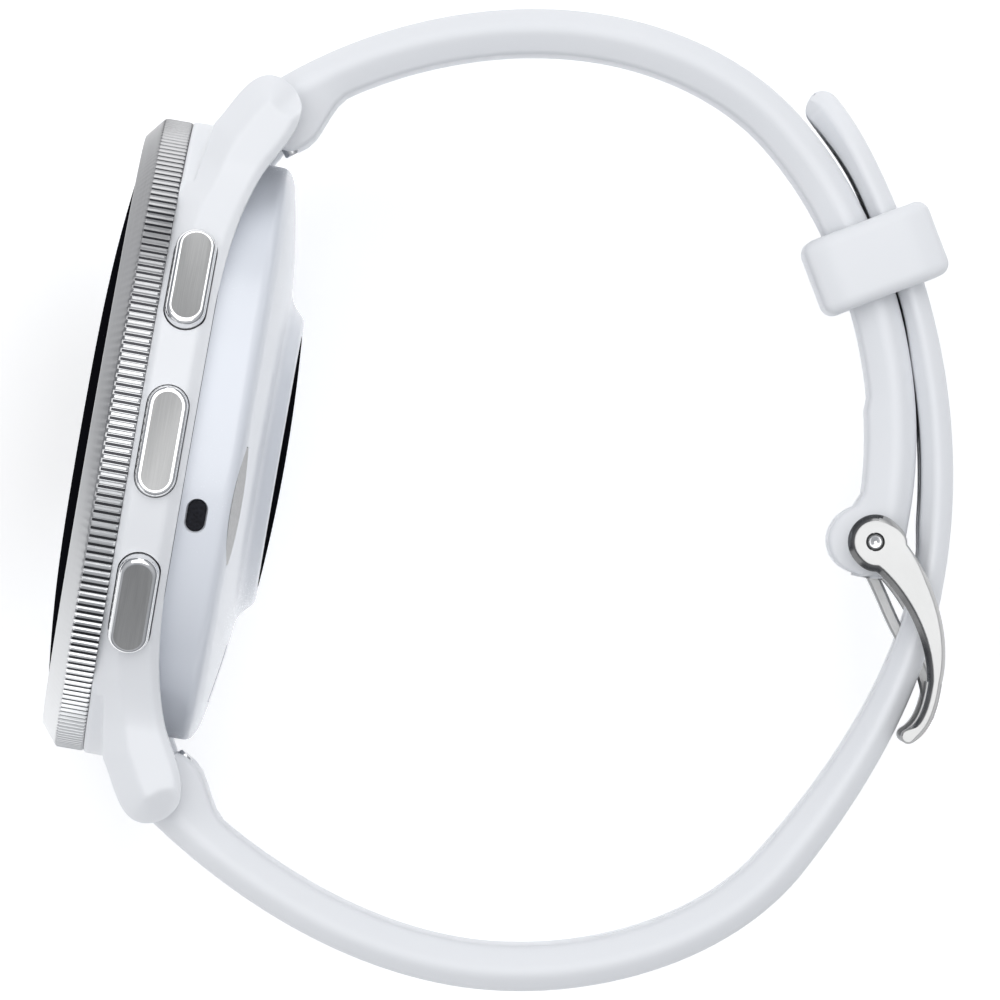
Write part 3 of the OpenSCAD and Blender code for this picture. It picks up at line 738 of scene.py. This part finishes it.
# The sensor glass is a black dome in the puck, over a small board with four green lights
# and four light sensors.
dome = [
    (r, puck_x + lens_rise * (1 - (r / lens_r) ** 2))
    for r in [lens_r * (1 - t) for t in arc_steps(24)]
]
lens_base = [(0, puck_x - 0.85), (lens_r, puck_x - 0.85), (lens_r, puck_x - 0.06)]
sensor_glass = lathe("sensor_dome", lens_base + dome[1:], black_glass)
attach(sensor_glass, "case")
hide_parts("sensor_glass")

# The contact plate is a thin silver crescent, set into the slope of the cover so that it
# touches the wrist.
plate_silver, wire = material("plate_silver")
pits = wire.noise(wire.place(), 3200, 5, 0.7)
rays = wire.noise(wire.stretched((9000, 900, 900)), 1.0, 3)
wire.surface({
    "Base Color": wire.mix(pits, rgb(0.26, 0.26, 0.26), rgb(0.52, 0.52, 0.52)),
    "Metallic": 1.0,
    "Roughness": wire.between(pits, 0.28, 0.48),
    "Normal": wire.bump(pits + rays * 0.5, 0.02 * MM, 0.8),
})
contact = crescent("contact_plate", 0, plate_silver)
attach(contact, "case")
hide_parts("wrist_contact")

# The pressure vent is a black woven plug behind a pill-shaped mouth in the side of the
# cover.
vent_black, wire = material("vent_black")
weave = wire.node("TexVoronoi", None, {"Vector": wire.place(), "Scale": 4500.0})
wire.surface({
    "Base Color": wire.mix(weave, rgb(0.004, 0.004, 0.006), rgb(0.015, 0.016, 0.022)),
    "Roughness": wire.between(weave, 0.35, 0.6),
    "Specular IOR Level": 0.15,
    "Normal": wire.bump(weave, 0.02 * MM),
})
plug_levels = [(0, cover_r - 0.74), (0, cover_r - 0.16), (0.06, cover_r - 0.1)]
vent = plate("vent_plug", pill(2.28, 1.28), plug_levels, vent_black, at_vent)
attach(vent, "case")
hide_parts("vent_port")

# The charging socket is a dark moulded block with four gold pins.
socket_plastic, wire = material("socket_plastic")
speckle = wire.noise(wire.place(), 5000, 3)
wire.surface({
    "Base Color": wire.mix(speckle, rgb(0.16, 0.165, 0.18), rgb(0.21, 0.215, 0.23)),
    "Roughness": wire.between(speckle, 0.4, 0.55),
    "Normal": wire.bump(speckle, 0.006 * MM),
})
dress("charge_socket", socket_plastic)

gold = plain_finish(
    "gold_plating", (0.72, 0.50, 0.20), (0.90, 0.68, 0.32), 4000, (0.16, 0.34), 1.0, 0.0, 0.55
)
dress("charge_pins", gold)

# ---- Inside the case ---------------------------------------------------------------
# The moulded frame carries the board with its cans and switches, the wrapped cell, the
# motor, the speaker, the microphone and the strip antenna. All are sealed in.
frame_plastic = plain_finish(
    "frame_plastic", (0.03, 0.03, 0.035), (0.06, 0.06, 0.065), 3000, (0.4, 0.6)
)
board_green = plain_finish(
    "board_green", (0.01, 0.05, 0.02), (0.02, 0.12, 0.05), 900, (0.3, 0.5)
)
can_steel = plain_finish(
    "can_steel", (0.45, 0.46, 0.47), (0.66, 0.67, 0.68), 1500, (0.25, 0.42), 1.0
)
cell_foil = plain_finish(
    "cell_foil", (0.38, 0.39, 0.41), (0.55, 0.56, 0.58), 700, (0.2, 0.45), 0.8, 0.02
)
light_lens = plain_finish(
    "light_lens", (0.55, 0.75, 0.55), (0.75, 0.9, 0.75), 2500, (0.08, 0.16)
)
sensor_dark = plain_finish(
    "sensor_dark", (0.01, 0.01, 0.03), (0.03, 0.03, 0.07), 2500, (0.08, 0.2)
)
for node, finish in {
    "inner_frame": frame_plastic, "button_switches": frame_plastic, "speaker": frame_plastic,
    "main_board": board_green, "sensor_board": board_green, "board_shields": can_steel,
    "vibration_motor": can_steel, "case_screws": can_steel, "battery": cell_foil,
    "microphone": gold, "gps_antenna": gold, "sensor_leds": light_lens,
    "sensor_diodes": sensor_dark,
}.items():
    dress(node, finish)

# ---- Buttons -----------------------------------------------------------------------
# Three steel pills, brushed along their length with a bright polished rim. Each has a
# stem through the case wall with a rubber ring and a spring clip.
cap_top = case_r + 0.65
rim_width = 0.42
stem_r = 0.8
pad_in = bore_r - 1.4
stem_in = pad_in - 0.75
clip_groove = 0.36

rim_steel = plain_finish(
    "polished_rim", (0.80, 0.805, 0.81), (0.92, 0.92, 0.925), 1500, (0.06, 0.13), 1.0, 0.0
)

button_steel, wire = material("brushed_button")
strokes = wire.noise(wire.stretched((17000, 260, 260)), 1.0, 4, 0.65)
patches = wire.noise(wire.stretched((900, 120, 120)), 1.0, 2)
wire.surface({
    "Base Color": wire.mix(strokes, rgb(0.30, 0.30, 0.30), rgb(0.52, 0.52, 0.515)),
    "Metallic": 1.0,
    "Roughness": wire.between(strokes, 0.42, 0.55) + patches * 0.08,
    "Normal": wire.bump(strokes, 0.008 * MM, 0.7),
})


def paint_faces(piece, finish, chosen):
    """Gives a second finish to the faces whose middle, in millimetres, is chosen."""
    piece.data.materials.append(finish)
    index = len(piece.data.materials) - 1
    for face in piece.data.polygons:
        if chosen(face.center / MM):
            face.material_index = index


def round_outline(r, x=0.0, y=0.0, steps=40):
    turns = [2 * pi * t for t in arc_steps(steps)[:-1]]
    return [(x + r * cos(a), y + r * sin(a)) for a in turns]


crown = cap_top - 0.06
cap_levels = [
    (0.10, cap_base), (0, cap_base + 0.10), (0, cap_top - 0.36), (0.05, cap_top - 0.22),
    (0.16, cap_top - 0.10), (rim_width - 0.10, cap_top - 0.03), (rim_width, crown),
]
stem_levels = [
    (0.1, stem_in), (0, stem_in + 0.1), (0, pad_in - 0.4), (clip_groove, pad_in - 0.4),
    (clip_groove, pad_in - 0.1), (0, pad_in - 0.1), (0, cap_base + 0.2),
]
for name, angle in button_angles.items():
    place = on_barrel(button_x, angle)
    outwards = Vector(place(0, 0, 1)) - Vector(place(0, 0, 0))
    plan = pill(button_length, button_width, 24)
    cap = plate(f"{name}_button_cap", plan, cap_levels, rim_steel, place)
    stem = plate("stem", round_outline(stem_r), stem_levels, rim_steel, place)
    combine(cap, stem, "UNION")
    clean(cap, 50)
    paint_faces(cap, button_steel, lambda c: abs(c.dot(outwards) - crown) < 0.002)
    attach(cap, f"{name}_button")
    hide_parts(f"button_{name}")
    dress(f"button_{name}_seal", rubber)
    dress(f"button_{name}_clip", can_steel)

# ---- Spring bars -------------------------------------------------------------------
# Each strap end turns on a sprung steel bar between two lugs. A knob on the sliding tip
# stands out on the wrist side, to free the strap without a tool.
bar_steel = plain_finish(
    "bar_steel", (0.50, 0.51, 0.52), (0.78, 0.78, 0.79), 2600, (0.14, 0.30), 1.0, 0.003
)
for node in ("spring_bar_12", "spring_bar_6", "bar_spring_12", "bar_spring_6"):
    dress(node, bar_steel)

knob_r = 0.55
knob_z = 0.64 * lug_gap_half
knob_length = 3.5
knob_angle = -53.5
tip_r = 0.5
tip_base = knob_z - 1.2
tip_end = lug_gap_half + 1


def at_bar(side):
    """Places a plan of (along the knob, across it) with its height along the bar."""
    lean = radians(knob_angle)

    def place(u, v, h):
        return (
            bar_x + u * cos(lean) - v * sin(lean),
            side * (bar_y + u * sin(lean) + v * cos(lean)),
            h,
        )

    return place


peg_levels = [
    (0.2, 0.2), (0.2, 1.9), (0, 2.0), (0, knob_length - 0.14), (0.04, knob_length - 0.04),
    (0.14, knob_length),
]
tip_levels = [(0.1, tip_base), (0, tip_base + 0.1), (0, tip_end - 0.15), (0.15, tip_end)]
for clock, side in ((12, 1), (6, -1)):
    at_end = at_bar(side)

    def at_knob(u, v, h):
        return at_end(h, u, knob_z + v)

    knob = plate(f"release_peg_{clock}", round_outline(knob_r), peg_levels, bar_steel, at_knob)
    combine(knob, plate("tip", round_outline(tip_r), tip_levels, bar_steel, at_end), "UNION")
    clean(knob, 40)
    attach(knob, f"release_{clock}")
    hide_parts(f"release_knob_{clock}")

# ---- Short strap -------------------------------------------------------------------
# Moulded silicone, made in one with the lip that closes on the case and the round eye
# that holds the buckle's pin. Its sides have a soft crest nearer the outer face.
strap_half = 1.6
strap_half_width = 10.85
tail_half = 1.0
pin_x = 56.3795
pin_y = 1.73
pin_r = 0.6
boss_r = 2.6
span = pin_x - bar_x
band_steps = 28
band_crest = 1.25
band_rise = 9.13
band_fall = 4.03
lip_bulge = 1.79
lip_middle = 0.8
lip_reach = 2.8
lip_end = 5.6
end_reach = 1.95
bar_hole_r = 0.96
knob_slot_half = 0.66
eye_above = 2.27
eye_swell = 8
eye_join = 2.2
eye_soft = (0.35, 1.2)
slot_half = 1.4
keeper_back = 17.7
layer_gap = 0.13

silicone, wire = material("pale_silicone")
cloud = wire.noise(wire.place(), 70, 4, 0.5)
skin = wire.noise(wire.place(), 8000, 4, 0.65)
dust = wire.noise(wire.place(), 1300, 2, 0.5)
wire.surface({
    "Base Color": wire.mix(cloud, rgb(0.775, 0.79, 0.815), rgb(0.815, 0.825, 0.845)),
    "Roughness": wire.between(skin, 0.40, 0.54) + dust * 0.06,
    "Normal": wire.bump(skin, 0.006 * MM, 0.6),
    "Sheen Weight": 0.12,
    "Sheen Roughness": 0.4,
    "IOR": 1.43,
})


def distances(path):
    run = [0.0]
    for (ax, ay), (bx, by) in zip(path, path[1:]):
        run.append(run[-1] + hypot(bx - ax, by - ay))
    return run


def at_distance(path, run, s):
    """The point at a distance along a path."""
    i = 0
    while i < len(run) - 2 and run[i + 1] < s:
        i += 1
    t = (s - run[i]) / (run[i + 1] - run[i])
    (ax, ay), (bx, by) = path[i], path[i + 1]
    return ax + (bx - ax) * t, ay + (by - ay) * t


def heading_near(path, run, s, reach=1.5):
    ax, ay = at_distance(path, run, s - reach)
    bx, by = at_distance(path, run, s + reach)
    return atan2(by - ay, bx - ax)


def offset_line(path, offsets):
    """A line beside a path: positive offsets lie to its left."""
    line = []
    for i, (x, y) in enumerate(path):
        before, after = path[max(i - 1, 0)], path[min(i + 1, len(path) - 1)]
        heading = atan2(after[1] - before[1], after[0] - before[0])
        line.append((x - offsets[i] * sin(heading), y + offsets[i] * cos(heading)))
    return line


def strap_section(outer, inner, width, crest=band_crest, fall=1.1, bevel=1.1):
    """A strap's section as (towards the outer face, along Z), with its crest on each side."""
    high = max(outer - crest, -inner + 0.25)
    corner = max(width - bevel, 0.2)
    ring = [
        (outer, -corner), (high, -width), (-inner, -width + fall),
        (-inner, width - fall), (high, width), (outer, corner),
    ]
    return soften(ring, [0.5, 0.75, 0.4, 0.4, 0.75, 0.5], 6)


def sweep(name, path, sections, outer_side, finish):
    """A band along a path. Each section is a ring of (towards the outer face, z)."""
    size = len(sections[0])
    lines = [
        offset_line(path, [ring[k][0] * outer_side for ring in sections]) for k in range(size)
    ]
    points = [
        (*lines[k][i], sections[i][k][1]) for i in range(len(path)) for k in range(size)
    ]
    return new_piece(name, points, rings_to_faces(len(path), size, False), finish, 60)


def lip(s):
    """How much thicker the strap is on the wrist side, at a distance from its bar."""
    if s < lip_middle:
        return lip_bulge * sqrt(max(1 - ((s - lip_middle) / lip_reach) ** 2, 0))
    return lip_bulge * (1 - ease(s, lip_middle + 0.1, lip_end))


def bar_end(s):
    """How full the strap's section is where its end rounds off behind the bar."""
    return sqrt(max(1 - (min(s, 0) / end_reach) ** 2, 0.02))


def lead_in(y_sign, heading):
    """Points that carry a strap's path back behind its bar."""
    turned = radians(heading)
    return [
        (bar_x - k * cos(turned), y_sign * bar_y - k * sin(turned))
        for k in (1.75, 1.6, 1.3, 0.9, 0.45)
    ]


short_leaves = 43.7
short_stations = [
    (bar_x, bar_y, short_leaves),
    (bar_x + 0.4735 * span, bar_y + band_rise, 0),
    (bar_x + 0.7516 * span, bar_y + band_rise - band_fall, -37.4),
    (pin_x + 0.5, pin_y + eye_above, -90),
]
short_curve = curve(short_stations, band_steps)
lead = lead_in(1, short_leaves)
eye_depth = eye_above + boss_r
down = [
    (pin_x + 0.5, pin_y + eye_above - eye_depth * sin(pi / 2 * t)) for t in arc_steps(18)[1:]
]
short_path = lead + short_curve + down
short_run = distances(short_path)


def smooth_max(a, b, soft):
    return 0.5 * (a + b + sqrt((a - b) ** 2 + soft * soft))


def circle_reach(y, centre_y, r):
    return sqrt(max(r * r - (y - centre_y) ** 2, 0))


def short_sections():
    """The strap's own section, swelling into the lip at one end and the eye at the other."""
    rings = []
    straight_to = short_run[len(lead) + len(short_curve) - 1]
    for (x, y), s in zip(short_path, short_run):
        from_bar = s - short_run[len(lead)]
        outer = strap_half * bar_end(from_bar)
        inner = (strap_half + lip(from_bar)) * bar_end(from_bar)
        if s > straight_to - eye_swell:
            eye = circle_reach(y, pin_y, boss_r)
            lobe = circle_reach(y, pin_y - 0.1, boss_r - 0.33)
            shrink = ease(s, straight_to, straight_to + eye_join)
            band_out = strap_half - 3.5 * shrink
            soft_out, soft_in = (soft * (1 - shrink) for soft in eye_soft)
            outer = smooth_max(eye - 0.5, band_out, soft_out)
            inner = smooth_max(max(lobe + 1.5, eye + 0.5), band_out, soft_in)
            if eye == 0:
                outer = band_out
                inner = smooth_max(0.5, band_out, soft_in)
            outer = strap_half if y > pin_y else min(outer, strap_half)
        crest = min(band_crest, outer + inner - 0.3)
        rings.append(strap_section(outer, inner, strap_half_width, crest))
    return rings


short_strap = sweep("short_strap_band", short_path, short_sections(), 1, silicone)
slot_plan = round_outline(boss_r + 1, pin_x, pin_y, 48)
combine(short_strap, plate("slot", slot_plan, [(0, -slot_half), (0, slot_half)], silicone))


def drill(piece, r, x, y, half=15):
    """Drills a round hole through a piece along Z."""
    bore = plate("bore", round_outline(r, x, y), [(0, -half), (0, half)], silicone)
    combine(piece, bore)


def cut_knob_slot(piece, side):
    """Cuts the slot that a release knob slides in."""
    low, high = -knob_slot_half, knob_slot_half
    plan = [(0, low), (6, low), (6, high), (0, high)]
    levels = [(0, knob_z - 2.1), (0, knob_z + 0.75)]
    combine(piece, plate("slot", plan, levels, silicone, at_bar(side)))


drill(short_strap, pin_r + 0.05, pin_x, pin_y)
drill(short_strap, bar_hole_r, bar_x, bar_y)
cut_knob_slot(short_strap, 1)
clean(short_strap, 55)
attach(short_strap, "short_strap")
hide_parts("strap_short")

# ---- Long strap --------------------------------------------------------------------
# The other half of the strap, of the same silicone. It runs through the buckle and the
# keeper, thins to a tail with a round tip, and has a row of eleven pill-shaped holes.
short_at = distances(short_curve)
keeper_s = short_at[-1] - keeper_back
keeper_x, keeper_y = at_distance(short_curve, short_at, keeper_s)
keeper_heading = heading_near(short_curve, short_at, keeper_s)
layer = strap_half + tail_half + layer_gap
tail_x = keeper_x - layer * sin(keeper_heading)
tail_y = keeper_y + layer * cos(keeper_heading)
hole_length = 3.7
hole_width = 2.4
hole_pitch = 4.4
hole_stretch = 0.3
holes_to_lug = 7
holes_to_tip = 3
tongue_back = 5.3
tip_length = 8.5
tip_round = 1.3
under_pin = 0.25
under_tail = 0.45
long_leaves = -35.8

long_stations = [
    (bar_x, -bar_y, long_leaves),
    (bar_x + 0.49 * span, -bar_y - 8.35, 0),
    (bar_x + 0.946 * span, -bar_y + 2.55, 59.9),
    (pin_x + boss_r + tail_half + 0.67, 0, 90),
    (tail_x, tail_y, keeper_heading * 180 / pi + 180),
    (tail_x - 7.65, tail_y + 9.95, 140),
]
long_curve = curve(long_stations, band_steps)
lead = lead_in(-1, long_leaves)
long_path = lead + long_curve
long_run = distances(long_path)
thin_from = long_run[len(lead) + 2 * band_steps]
thin_to = long_run[len(lead) + 3 * band_steps]
keeper_on_tail = long_run[len(lead) + 4 * band_steps]
tongue_s = thin_to - tongue_back
tongue_at = at_distance(long_path, long_run, tongue_s)
before_tip = [p for p, s in zip(long_path, long_run) if s < long_run[-1] - tip_round]
tip_points = [
    at_distance(long_path, long_run, long_run[-1] - tip_round * (1 - sin(pi / 2 * t)))
    for t in arc_steps(8)
]
long_path = before_tip + tip_points
long_run = distances(long_path)


def long_sections():
    """The strap's section, from its lip at the bar to the round tip of its tail."""
    rings = []
    for s in long_run:
        from_bar = s - long_run[len(lead)]
        to_tip = long_run[-1] - s
        thin = min(max((s - thin_from) / (thin_to - thin_from), 0), 1)
        half = strap_half + (tail_half - strap_half) * thin
        full = bar_end(from_bar)
        width = strap_half_width
        if to_tip < tip_length:
            width *= sqrt(max(1 - (1 - to_tip / tip_length) ** 2.6, 0.03))
        if to_tip < tip_round:
            full *= sqrt(max(1 - (1 - to_tip / tip_round) ** 2, 0.03))
        crest = band_crest - 0.15 * thin
        beside_pin = ease(s, thin_to + 1, thin_to + 4)
        beside_pin *= 1 - ease(s, keeper_on_tail - 9, keeper_on_tail - 4)
        past_keeper = ease(s, keeper_on_tail + 5, keeper_on_tail + 12)
        under = under_pin * beside_pin + under_tail * past_keeper
        inner = (half + lip(from_bar) + under) * full
        fall = 1.1 + 0.5 * thin + 0.9 * past_keeper
        rings.append(strap_section(half * full, inner, width, crest, min(fall, width * 0.8)))
    return rings


long_strap = sweep("long_strap_band", long_path, long_sections(), -1, silicone)
hole_levels = [
    (-0.45, -strap_half - 0.6), (-0.02, -strap_half + 0.55), (0, 0), (0, strap_half + 1),
]
for k in range(-holes_to_lug, holes_to_tip + 1):
    stretch = hole_stretch if k == 0 else 0
    hole_s = tongue_s + k * hole_pitch + stretch
    x, y = at_distance(long_path, long_run, hole_s)
    heading = heading_near(long_path, long_run, hole_s)

    def in_hole(u, v, h):
        return (
            x + v * cos(heading) - h * sin(heading),
            y + v * sin(heading) + h * cos(heading),
            u,
        )

    hole = pill(hole_length + stretch * 0.7, hole_width, 12)
    combine(long_strap, plate("hole", hole, hole_levels, silicone, in_hole))
drill(long_strap, bar_hole_r, bar_x, -bar_y)
cut_knob_slot(long_strap, -1)
clean(long_strap, 55)
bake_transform(long_strap)
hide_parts("strap_long")

# ---- Keeper ------------------------------------------------------------------------
# A loose loop of the same silicone that holds the tail down on the short strap. Its
# corners are bevelled and all of its edges are round.
keeper_length = 5.5
keeper_wall = 1.75
keeper_gap = 0.25
keeper_low = -strap_half - keeper_gap
keeper_high = strap_half + layer_gap + 2 * tail_half + keeper_gap
edge_round = 0.9


def keeper_ring(grow, bevel_n, bevel_z, setback):
    """One turn round the keeper, as (out from the short strap, z)."""
    low, high = keeper_low - grow, keeper_high + grow
    side = strap_half_width + keeper_gap + grow * (1 - 0.2 / keeper_wall)
    ring = [
        (low, -side + bevel_z), (low + bevel_n, -side), (high - bevel_n, -side),
        (high, -side + bevel_z), (high, side - bevel_z), (high - bevel_n, side),
        (low + bevel_n, side), (low, side - bevel_z),
    ]
    return soften(ring, setback, 5)


half = keeper_length / 2
lean_steps = [pi / 2 * t for t in arc_steps(7)]
edge_steps = [(-half + edge_round * (1 - cos(a)), edge_round * (1 - sin(a))) for a in lean_steps]
edge_steps += [(-a, depth) for a, depth in reversed(edge_steps)]
window_steps = [
    (half - 0.06, 0.3), (half - 0.3, 0.05), (0, 0), (-half + 0.3, 0.05), (-half + 0.06, 0.3),
]
rings = []
for a, depth in edge_steps:
    share = (keeper_wall - depth) / keeper_wall
    ring = keeper_ring(keeper_wall * share, 1.7 * share + 0.1, 0.75 * share, 0.6)
    rings.append((a, ring))
rings += [(a, keeper_ring(depth, 0.15, 0.15, 0.1)) for a, depth in window_steps]
c, s = cos(keeper_heading), sin(keeper_heading)
points = [
    (keeper_x + a * c - n * s, keeper_y + a * s + n * c, z) for a, ring in rings for n, z in ring
]
faces = rings_to_faces(len(rings), len(rings[0][1]), True)
keeper = new_piece("keeper_band", points, faces, silicone, 60)
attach(keeper, "keeper")
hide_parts("keeper_loop")

# ---- Buckle ------------------------------------------------------------------------
# A stainless steel buckle. Its two arms are flat and satin on their sides, polished on
# the chamfer that faces the strap, and end in a crossbar that hooks under the strap.
arm_in = strap_half_width + 0.15
arm_t = 1.6
arm_out = arm_in + arm_t
arm_head_r = 1.93
arm_root_half = 1.6
arm_edge = 0.08
arm_chamfer = 0.37
outer_chamfer = 0.14
polish_reach = 0.43
polished_head = 24
head_steps = 36
crossbar_half = 0.53
arm_stations = [(pin_x, pin_y, -30), (pin_x + 5.8, pin_y - 9.03, -88)]
crossbar_stations = [(pin_x + 5.8, pin_y - 9.03, -88), (pin_x + 4.65, pin_y - 13.05, -142)]
tongue_tip = (pin_x + 5.95, pin_y - 11.4, -82)
tongue_half_width = 0.8
tongue_half = 0.45
notch_gap = 0.12
arm_steps = 40
hook_steps = 20

satin_steel, wire = material("satin_steel")
blast = wire.noise(wire.place(), 12000, 3, 0.6)
tone = wire.noise(wire.place(), 300, 3, 0.5)
wire.surface({
    "Base Color": wire.mix(tone, rgb(0.47, 0.47, 0.465), rgb(0.53, 0.53, 0.525)),
    "Metallic": 1.0,
    "Roughness": wire.between(blast, 0.34, 0.48),
    "Normal": wire.bump(blast, 0.003 * MM, 0.5),
})

edge_steel = plain_finish(
    "polished_edge", (0.14, 0.14, 0.14), (0.34, 0.34, 0.34), 700, (0.12, 0.24), 1.0, 0.0
)

arm_path = curve(arm_stations, arm_steps)
hook_path = curve(crossbar_stations, hook_steps)
side_path = arm_path + hook_path[1:]
side_half = [
    arm_root_half + (crossbar_half - arm_root_half) * t for t in arc_steps(arm_steps)
]
side_half += [crossbar_half] * hook_steps
from_head = 6
outer_edge = offset_line(side_path, side_half)[from_head:]
wrist_edge = offset_line(side_path, [-h for h in side_half])[from_head:]


def head_arc():
    """The round head about the pin, from the wrist edge of the arm to its outer edge."""
    (ax, ay), (bx, by) = wrist_edge[0], outer_edge[0]
    start, end = atan2(ay - pin_y, ax - pin_x), atan2(by - pin_y, bx - pin_x)
    if end > start:
        end -= 2 * pi
    first, last = hypot(ax - pin_x, ay - pin_y), hypot(bx - pin_x, by - pin_y)
    arc = []
    for t in arc_steps(head_steps)[1:-1]:
        angle = start + (end - start) * t
        full = ease(min(t, 1 - t), 0, 0.2)
        r = (first + (last - first) * t) * (1 - full) + arm_head_r * full
        arc.append((pin_x + r * cos(angle), pin_y + r * sin(angle)))
    return arc


def end_round(first, last):
    """A half round between the ends of two edges."""
    cx, cy = (first[0] + last[0]) / 2, (first[1] + last[1]) / 2
    r = hypot(first[0] - last[0], first[1] - last[1]) / 2
    start = atan2(first[1] - cy, first[0] - cx)
    angles = [start - pi * t for t in arc_steps(10)[1:-1]]
    return [(cx + r * cos(a), cy + r * sin(a)) for a in angles]


def strip(path, half):
    """The outline of a strip along a path, square at its start and round at its end."""
    left = offset_line(path, [half] * len(path))
    right = offset_line(path, [-half] * len(path))
    return left + end_round(left[-1], right[-1]) + right[::-1]


hook_round = end_round(outer_edge[-1], wrist_edge[-1])
arm_outline = outer_edge + hook_round + wrist_edge[::-1] + head_arc()
edge_inset = []
for i in range(len(arm_outline)):
    on_wrist = (i - len(outer_edge) - len(hook_round)) / len(wrist_edge)
    on_outer = i / len(outer_edge)
    cut = 0
    if on_outer < 1:
        cut = outer_chamfer * ease(on_outer, 0.04, 0.2) * (1 - ease(on_outer, 0.93, 1))
    elif 0 <= on_wrist < 1:
        cut = arm_chamfer * ease(on_wrist, 0.0, 0.12)
    elif on_wrist >= 1:
        round_head = (i - len(arm_outline)) / (head_steps - 1) + 1
        cut = arm_chamfer * (1 - ease(round_head, 0.7, 1))
    edge_inset.append(arm_edge + cut)
arm_levels = [
    (arm_edge, arm_in), (0, arm_in + arm_edge), (0, arm_out - 0.40),
    ([0.5 * e for e in edge_inset], arm_out - 0.17), (edge_inset, arm_out - 0.02),
    ([e + 0.05 for e in edge_inset], arm_out),
]


def arm(side):
    def on_side(u, v, h):
        return u, v, side * h

    return plate("buckle_body", arm_outline, arm_levels, satin_steel, on_side, 20)


def near_wrist_edge(centre):
    """True on the polished chamfer of an arm that faces the strap."""
    gap = min(hypot(centre.x - x, centre.y - y) for x, y in polished_line)
    return gap < polish_reach and arm_in < abs(centre.z) < arm_out - 0.005


polished_line = wrist_edge + head_arc()[:polished_head]
buckle = arm(1)
combine(buckle, arm(-1), "UNION")
bar_outline = strip(hook_path, crossbar_half)
bar_levels = [(0, -arm_out + 0.3), (0, arm_out - 0.3)]
combine(buckle, plate("crossbar", bar_outline, bar_levels, satin_steel), "UNION")

# The crossbar has a notch that the tip of the tongue rests in.
tongue_stations = [(pin_x - 0.45, pin_y - 1.5, -45), (*tongue_at, -42), tongue_tip]
past_tip = (tongue_tip[0] + 0.05, tongue_tip[1] - 0.3, tongue_tip[2])
notch_path = curve(tongue_stations[:2] + [past_tip], 16)
notch_under = offset_line(notch_path, [-tongue_half - notch_gap] * len(notch_path))
notch_over = offset_line(notch_path, [3.0] * len(notch_path))
notch_half = tongue_half_width + 0.25
notch_levels = [(0, -notch_half), (0, notch_half)]
combine(buckle, plate("notch", notch_under + notch_over[::-1], notch_levels, satin_steel))
drill(buckle, pin_r + 0.06, pin_x, pin_y)
clean(buckle, 20)
paint_faces(buckle, edge_steel, near_wrist_edge)
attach(buckle, "frame")
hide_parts("buckle_frame")

# The pin is a steel rod through both arms and the strap's eye, riveted with a small
# dimple at each end.
head_z = arm_out - 0.04
pin_outline = [
    (0, -head_z + 0.14), (0.14, -head_z + 0.10), (0.30, -head_z + 0.02), (0.42, -head_z),
    (0.55, -head_z + 0.10), (pin_r, -head_z + 0.24),
]
pin_outline += [(r, -z) for r, z in reversed(pin_outline)]
points = [
    (pin_x + r * cos(2 * pi * t), pin_y + r * sin(2 * pi * t), z)
    for t in arc_steps(48)[:-1] for r, z in pin_outline
]
pin = new_piece("hinge_pin", points, rings_to_faces(48, len(pin_outline), True), bar_steel)
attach(pin, "short_strap")
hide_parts("buckle_pin")

tongue_path = curve(tongue_stations, 24)
tongue_outline = strip(tongue_path, tongue_half)
tongue_levels = [
    (0.18, -tongue_half_width), (0.05, -tongue_half_width + 0.08),
    (0, -tongue_half_width + 0.22), (0, tongue_half_width - 0.22),
    (0.05, tongue_half_width - 0.08), (0.18, tongue_half_width),
]
tongue = plate("tongue_blade", tongue_outline, tongue_levels, satin_steel)
eye_r = pin_r + 0.95
eye_half = tongue_half_width + 0.3
eye_levels = [(0.15, -eye_half), (0, -eye_half + 0.15), (0, eye_half - 0.15), (0.15, eye_half)]
combine(tongue, plate("eye", round_outline(eye_r, pin_x, pin_y), eye_levels, satin_steel), "UNION")
drill(tongue, pin_r + 0.06, pin_x, pin_y, 3)
clean(tongue, 30)
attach(tongue, "tongue")
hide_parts("buckle_tongue")
